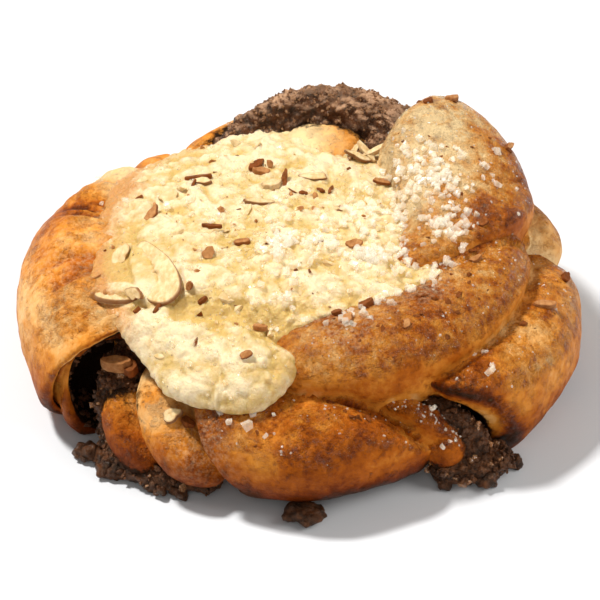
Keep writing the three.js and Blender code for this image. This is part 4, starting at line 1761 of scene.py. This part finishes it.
CHIPS = (
    Chip(Nut.FLESH, (-27.9, 9.7), (4.4, 3, 1.2), 20),
    Chip(Nut.TOASTED, (-31, 3.7), (4, 2, 0.8), 40, 30, 0.5),
    Chip(Nut.SKIN, (-21.7, 15.8), (6.4, 2.4, 1.1), -25, 8, 0.3),
    Chip(Nut.FLESH, (-20.5, 14.2), (4, 1.6, 0.9), -20, 5, 0.3),
    Chip(Nut.SKIN, (-18.3, -3), (4.4, 1.3, 0.8), -12, 20, 0.5),
    Chip(Nut.TOASTED, (-11.9, -7), (3.4, 1.8, 0.9), 5, 15),
    Chip(Nut.TOASTED, (-18.7, -11.5), (2.8, 2.2, 1.1), 70, 12),
    Chip(Nut.SKIN, (-9.4, 19.4), (4.2, 2, 1), 50, 20, 0.4),
    Chip(Nut.TOASTED, (-8.4, 17.6), (3.6, 2.4, 1.1), 10, 12, 0.3),
    Chip(Nut.SKIN, (-3.2, 13.8), (3.8, 1.1, 0.8), 78, 35, 0.7),
    Chip(Nut.FLESH, (-6, 12.3), (4.6, 3.2, 1.5), 30, 14, 0.4),
    Chip(Nut.FLESH, (3.4, 15.5), (6.2, 1.7, 0.8), -8, 8, 0.3),
    Chip(Nut.SKIN, (0.6, 10), (2, 0.9, 0.6), 0, 10, 0.2),
    Chip(Nut.SKIN, (4.4, 11), (2.4, 1, 0.6), -40, 15, 0.3),
    Chip(Nut.SKIN, (6.6, 10.4), (1.8, 0.9, 0.6), 60, 15, 0.3),
    Chip(Nut.FLESH, (-8.9, 5.2), (7, 2.2, 0.9), 8, 6, 0.3),
    Chip(Nut.TOASTED, (11, -9.5), (3.4, 2, 1), 20, 15, 0.4),
    Chip(Nut.TOASTED, (-22.1, -22), (2.4, 1.7, 0.8), 45, 20, 0.3),
    Chip(Nut.SKIN, (-19.6, -24.7), (2.2, 1.4, 0.8), 10, 20, 0.3),
    Chip(Nut.SKIN, (-28.3, -26.2), (4, 0.9, 0.6), 55, 12, 0.4),
    Chip(Nut.SKIN, (-33, -25), (1.6, 1.1, 0.8), 0, 10, 0.3),
    Chip(Nut.TOASTED, (-10.6, -40), (2.6, 1.8, 1), 30, 10, 0.3),
    Chip(Nut.TOASTED, (-8.1, -31), (2.8, 2, 1), -20, 14, 0.4),
    Chip(Nut.TOASTED, (0.8, -37), (2.2, 1.5, 0.9), 60, 10, 0.3),
    Chip(Nut.SKIN, (2.8, -34), (1.8, 1.2, 0.7), 0, 10, 0.3),
    Chip(Nut.TOASTED, (23.8, -0.3), (5, 2.6, 1.2), 30, 22, 0.9),
    Chip(Nut.SKIN, (25, -1.6), (4, 1.2, 0.9), 20, 22, 1.2),
    Chip(Nut.TOASTED, (17.2, 14), (4, 1.2, 0.8), -15, 10, 0.6),
    Chip(Nut.FLESH, (-37, -8.5), (5, 3, 1), 70, 12, 0.3),
    Chip(Nut.FLESH, (-33.5, -21.5), (4.4, 2.6, 1), -30, 16, 0.5),
    Chip(Nut.FLESH, (14, 25.4), (6.2, 1.5, 1), 130, 24, 1.4),
    Chip(Nut.FLESH, (11.5, 25.6), (5.6, 1.6, 1), 60, 20, 1.2),
    Chip(Nut.FLESH, (16, 25), (5.4, 1.4, 1.1), 20, 26, 1.6),
    Chip(Nut.FLESH, (12.6, 24), (5.4, 1.5, 1), 165, 14, 1.0),
    Chip(Nut.FLESH, (17.6, 23.4), (4.8, 1.3, 1), 100, 30, 1.4),
    Chip(Nut.SKIN, (13, -27), (3.4, 2, 1.2), 10, 14, 0.4, "crossing"),
    Chip(Nut.TOASTED, (9.6, -31.4), (2.6, 2, 1.2), 60, 14, 0.4, "crossing"),
    Chip(Nut.SKIN, (7.4, -28.6), (2.6, 1.4, 1), -30, 14, 0.4, "crossing"),
    Chip(Nut.TOASTED, (50.4, -14.6), (5.2, 1.7, 1.1), 15, 8, 0.3, "right_fold"),
    Chip(Nut.FLESH, (-25.6, -42.6), (4.4, 2.6, 1.5), 20, 12, 0.4, "second_roll"),
    Chip(Nut.SKIN, (-22.6, -43.6), (2.6, 2, 1.3), -30, 20, 0.5, "second_roll"),
    Chip(Nut.TOASTED, (44.5, 22), (3.4, 1.4, 1.1), 60, 12, 0.4, "high"),
    Chip(Nut.TOASTED, (33, 33.5), (3.4, 2, 1.2), 40, 12, 0.3, "high"),
    Chip(Nut.SKIN, (27.4, 30.2), (2.4, 1.8, 1), 10, 12, 0.1, "high"),
    Chip(Nut.SKIN, (55.8, -2), (2.6, 1.8, 1.2), 70, 12, 0.3, "right_fold"),
    Chip(Nut.SKIN, (38, -3), (2.4, 1.6, 0.9), 20, 12, 0.2, "high"),
    Chip(Nut.TOASTED, (36, -12.4), (2.6, 1.5, 0.9), 20, 12, 0.2, "crossing"),
    Chip(Nut.TOASTED, (21, -33), (2.2, 1.4, 0.8), 80, 12, 0.2, "crossing"),
    Chip(Nut.TOASTED, (-37.2, -29.2), (6.8, 3.6, 2.4), -12, 4, 0, "shell", 20.6),
    Chip(Nut.SKIN, (-34.8, -29.4), (3.4, 3.2, 2.2), 60, 10, 0, "shell", 19.8),
)


@dataclass
class Toppings:
    """Sugar crystals, chopped almonds, slivers and loose crumbs of filling."""

    dough: dict[str, Skin]
    custard: Skin
    filling: dict[str, Skin]
    seed: int = 11

    def near(self, skin: Skin, spots: Spots) -> np.ndarray:
        """Weights round spots of (x, y, spread, amount), on the side of a skin that faces up."""
        return spots_over(skin.points, spots) * rise(skin.normals()[..., 2], 0.05, 0.4)

    def sugar(self, chance: np.random.Generator) -> None:
        """Coarse crystals, heaped on the right of the custard and on the high strand.

        Args:
            chance: The random numbers.
        """
        clear = Crystal().make()
        pool = self.near(self.custard, (
            (14, -13, 2.6, 2.2), (-4, -10, 3, 1.2), (5, -9, 3, 0.7), (22, -11, 4, 0.8),
            (22, 3, 4, 1.0), (13, 1, 4, 0.4), (-2, -24, 5, 0.25), (8, -4, 12, 0.06), (-8, 0, 25, 0.008),
        ))
        places = self.custard.places(pool, 380, chance).raised(chance.uniform(-0.2, 1.3, 380))
        crystals = Bits((1.6, 1.45, 1.35), uneven=0.24, crown=0.12, spread=(0.45, 1.15))
        deliver(crystals.build("custard_sugar", places, clear, chance), "custard")
        heaps = {
            "high": (((28, 7, 4.5, 1.0), (31, -3, 4, 0.8), (25, 14, 4, 0.5), (34, 8, 10, 0.05)), 240),
            "crossing": ((
                (9, -31, 3.5, 0.8), (15, -25, 2.5, 1.0), (20, -20, 2.5, 1.0), (25, -15, 2.5, 1.0),
                (30, -10, 3, 0.8), (25, -18, 5, 0.25), (28, -18, 8, 0.05),
            ), 120),
            "front": (((-13, -46, 3, 1.0), (-9, -49, 5, 0.3)), 9),
            "shell": (((-46, 32, 1.8, 1.0),), 9),
            "tucked_roll": (((30, -38, 5, 1.0),), 8),
            "right_fold": (((37, -32, 3, 1.0), (44, -24, 5, 0.15)), 10),
        }
        heaped = []
        for name, (spots, count) in heaps.items():
            skin = self.dough[name]
            found = skin.places(self.near(skin, spots), count, chance)
            heaped.append(found.raised(chance.uniform(-0.3, 0.9, count)))
        deliver(crystals.build("dough_sugar", gathered(heaped), clear, chance), "dough")
        # Tiny clear bits on the glazed tops stand in for glints: painted highlights, partly fine sugar.
        glint_specks = Bits((0.4, 0.34, 0.28), uneven=0.3, spread=(0.3, 1.6))
        glint_places = []
        for name in ("high", "crossing", "front", "right_fold", "tucked_roll"):
            skin = self.dough[name]
            weight = np.maximum(skin.marks["glaze"], 0) ** 2 * rise(skin.normals()[..., 2], 0.2, 0.7)
            glint_places.append(skin.places(weight, 180, chance).raised(-0.05))
        deliver(glint_specks.build("dough_glint_specks", gathered(glint_places), clear, chance), "dough")
        film = self.near(self.custard, ((-6, -4, 24, 1.0), (10, -20, 14, 0.3), (-20, -30, 12, 0.6)))
        places = self.custard.places(film, 600, chance)
        grains = Bits((0.8, 0.7, 0.6), uneven=0.15, spread=(0.5, 1.3))
        curd = Crystal("curd_grain", (240, 222, 180), (222, 190, 130)).make()
        deliver(grains.build("custard_grains", places, curd, chance), "custard")

    def chips(self) -> None:
        """The larger bits of almond, each in its own place."""
        groups: dict[tuple[Nut, str], list[Skin]] = {}
        for number, chip in enumerate(CHIPS):
            skin = self.custard if chip.on == "custard" else self.dough[chip.on]
            node = "custard" if chip.on == "custard" else "dough"
            groups.setdefault((chip.kind, node), []).append(self.chip(chip, number, skin))
        for (kind, node), skins in groups.items():
            piece = joined_piece(f"{kind.value}_chips_on_{node}", skins, Almond(kind).make())
            deliver(piece, node)

    def chip(self, chip: Chip, number: int, skin: Skin) -> Skin:
        """Seat one chip on a skin.

        Args:
            chip: The chip.
            number: Seeds its unevenness.
            skin: What it lies on.

        Returns:
            Its skin, marked with rim.
        """
        up = skin.normals()
        away = np.hypot(skin.points[..., 0] - chip.at[0], skin.points[..., 1] - chip.at[1])
        away = np.where(up[..., 2] > 0.2, away, 99.0)
        row, side = np.unravel_index(away.argmin(), away.shape)
        normal = up[row, side]
        heading = math.radians(chip.heading)
        cross = np.cross(normal, (math.cos(heading), math.sin(heading), 0.0))
        cross /= np.linalg.norm(cross)
        axes = np.stack([np.cross(cross, normal), cross, normal])
        half = (chip.size[0] / 2, chip.size[1] / 2)
        flat, reach = blade(half, chip.size[2], 0.1, 0.32, number + 1, 30)
        tipped = flat @ turn_about((0, 1, 0), -math.radians(chip.tip)).T
        seat = skin.points[row, side] + normal * chip.lift
        if chip.height is not None:
            seat = np.array([*chip.at, chip.height])
            axes = turn_about((0, 0, 1), heading).T
        piece = Skin(tipped @ axes + seat)
        piece.mark("rim", rise(reach, 0.8, 1.0) * (0.35 + 0.65 * (number % 2)))
        return piece

    def nuts(self, chance: np.random.Generator) -> None:
        """Small chopped almonds between them: pale, toasted, and thin bits of brown skin.

        Args:
            chance: The random numbers.
        """
        pool = self.near(self.custard, ((-10, 4, 30, 1.0),))
        kinds = (
            (Nut.FLESH, (2.4, 1.4, 0.9), 40),
            (Nut.SKIN, (1.5, 0.7, 0.45), 32),
            (Nut.TOASTED, (1.4, 1.0, 0.7), 44),
        )
        for kind, size, count in kinds:
            places = self.custard.places(pool, count, chance).raised(0.05)
            bits = Bits(size, uneven=0.6, crown=0.25, tilt=0.4, spread=(0.3, 1.4))
            piece = bits.build(f"{kind.value}_bits", places, Almond(kind).make(), chance)
            deliver(piece, "custard")
        flecks = []
        for name, count in {"high": 24, "crossing": 60, "front": 24, "right_fold": 24}.items():
            skin = self.dough[name]
            weight = rise(skin.normals()[..., 2], 0.55, 0.85)
            flecks.append(skin.places(weight, count, chance))
        bits = Bits((1.2, 0.9, 0.5), uneven=0.6, crown=0.25, tilt=0.3, spread=(0.3, 1.3))
        piece = bits.build("dough_flecks", gathered(flecks), Almond(Nut.SKIN).make(), chance)
        deliver(piece, "dough")

    def grit(self, chance: np.random.Generator) -> None:
        """Loose crumbs of filling, brown and amber, on all of the filling that shows.

        Args:
            chance: The random numbers.
        """
        brown = Spice("cinnamon_grit", (62, 32, 15), (120, 74, 42), (150, 108, 76)).make()
        amber = Crystal("amber_sugar", (196, 140, 92), (150, 96, 54)).make()
        counts = {"rear_rim": 500, "hollow_coating": 420, "dark_roll": 300, "left_run": 420, "right_run": 380}
        crumbs, drops = [], []
        for name, count in counts.items():
            skin = self.filling[name]
            weight = rise(skin.normals()[..., 2], -0.5, 0.2)
            low = weight * rise(-skin.points[..., 2], -36, -31)
            crumbs.append(skin.places(low, count, chance).raised(0.15))
            drops.append(skin.places(low, count // 9, chance).raised(0.3))
        skin = self.dough["second_layer"]
        weight = hump(skin.marks["inset"], 0.95, 0.25) * rise(skin.marks["along"], 0.5, 0.6)
        coated = skin.places(weight, 420, chance).raised(0.1)
        bits = Bits((0.85, 0.75, 0.65), uneven=0.45, spread=(0.35, 1.5))
        deliver(bits.build("filling_grit", gathered(crumbs), brown, chance), "cinnamon_filling")
        deliver(bits.build("hollow_grit", coated, brown, chance), "dough")
        skin = self.filling["rear_rim"]
        # Pale grit on the rim's top: real crumbs whose pale tone is partly painted sheen, like the bloom.
        bloom_and_sheen = Spice("dry_grit", (120, 78, 48), (176, 132, 92), (186, 150, 116)).make()
        weight = rise(skin.normals()[..., 2], 0, 0.5) * rise(skin.points[..., 2], 32, 38)
        fine = Bits((0.6, 0.5, 0.45), uneven=0.45, spread=(0.35, 1.4))
        piece = fine.build("rim_grit", skin.places(weight, 900, chance), bloom_and_sheen, chance)
        deliver(piece, "cinnamon_filling")
        bits = Bits((1.2, 1.0, 0.8), uneven=0.4, spread=(0.4, 1.5))
        deliver(bits.build("filling_amber", gathered(drops), amber, chance), "cinnamon_filling")

    def build(self) -> None:
        """Strew everything, from one seeded stream."""
        chance = np.random.default_rng(self.seed)
        self.sugar(chance)
        self.chips()
        self.nuts(chance)
        self.grit(chance)


# Studio

@dataclass(frozen=True)
class Studio:
    """Floor, lights and the camera of the photograph's view."""

    elevation: float = 37  # degrees
    distance: float = 0.62
    pixels_per_mm: float = 4.7
    target: Triple = (0, 0, 0.015)
    sensor: float = 36  # millimetres
    frame_pixels: float = 600
    lamps: tuple[tuple[str, Triple, float, float], ...] = (
        ("key", (-0.5, 0.2, 1.0), 0.11, 10.5),
        ("right", (1.0, -0.25, 0.8), 0.5, 4.2),
        ("front", (-0.1, -1.0, 0.6), 0.8, 1.4),
    )  # name, direction, edge in metres, power
    lamp_distance: float = 0.9
    room_light: float = 0.25
    floor_half: float = 3.0
    floor_gap: float = 0.0002  # how far the floor lies below the underside

    def camera(self) -> None:
        """Look at the bun from the front and above, at the photograph's scale."""
        lift = math.radians(self.elevation)
        eye = bpy.data.objects.new("camera", bpy.data.cameras.new("camera"))
        back = Vector((0, -math.cos(lift), math.sin(lift)))
        eye.location = Vector(self.target) + back * self.distance
        eye.rotation_euler = (math.pi / 2 - lift, 0, 0)
        eye.data.sensor_width = self.sensor
        width = self.frame_pixels / self.pixels_per_mm * MM
        eye.data.lens = self.sensor * self.distance / width
        bpy.context.collection.objects.link(eye)
        bpy.context.scene.camera = eye

    def light(self, name: str, towards: Triple, size: float, power: float) -> None:
        """Add a square lamp that shines at the bun from a direction.

        Args:
            name: Its name.
            towards: The direction that it stands in.
            size: Its edge in metres.
            power: Its power.
        """
        lamp = bpy.data.lights.new(name, "AREA")
        lamp.size = size
        lamp.energy = power
        place = bpy.data.objects.new(name, lamp)
        place.location = Vector(towards).normalized() * self.lamp_distance + Vector(self.target)
        place.rotation_euler = Vector(towards).to_track_quat("Z", "Y").to_euler()
        bpy.context.collection.objects.link(place)

    def floor(self) -> None:
        """Lay the floor a little below the bun's underside."""
        half = self.floor_half
        mesh = bpy.data.meshes.new("floor")
        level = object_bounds()[0][2] - self.floor_gap
        corners = [(-half, -half, level), (half, -half, level), (half, half, level), (-half, half, level)]
        mesh.from_pydata(corners, [], [(0, 1, 2, 3)])
        mesh.materials.append(Backdrop().make())
        plate = bpy.data.objects.new("floor", mesh)
        bpy.context.collection.objects.link(plate)
        plate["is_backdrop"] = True

    def build(self) -> None:
        """Set up the whole studio."""
        self.camera()
        for name, towards, size, power in self.lamps:
            self.light(name, towards, size, power)
        world = bpy.data.worlds.new("studio")
        world.use_nodes = True
        world.node_tree.nodes["Background"].inputs[0].default_value = (1, 1, 1, 1)
        world.node_tree.nodes["Background"].inputs[1].default_value = self.room_light
        bpy.context.scene.world = world
        bpy.context.scene.view_settings.view_transform = "Standard"
        self.floor()


def main() -> None:
    """Build the studio and every piece of the swirl."""
    logging.basicConfig(level=logging.INFO, format="%(message)s")
    Studio().build()
    dough = Dough().build()
    custard = Custard().build()
    filling = Filling().build()
    sliced = Almond(Nut.FLESH).make()
    for flake in SLICES:
        flake.build(sliced)
    Toppings(dough, custard, filling).build()


if __name__ == "__main__":
    main()
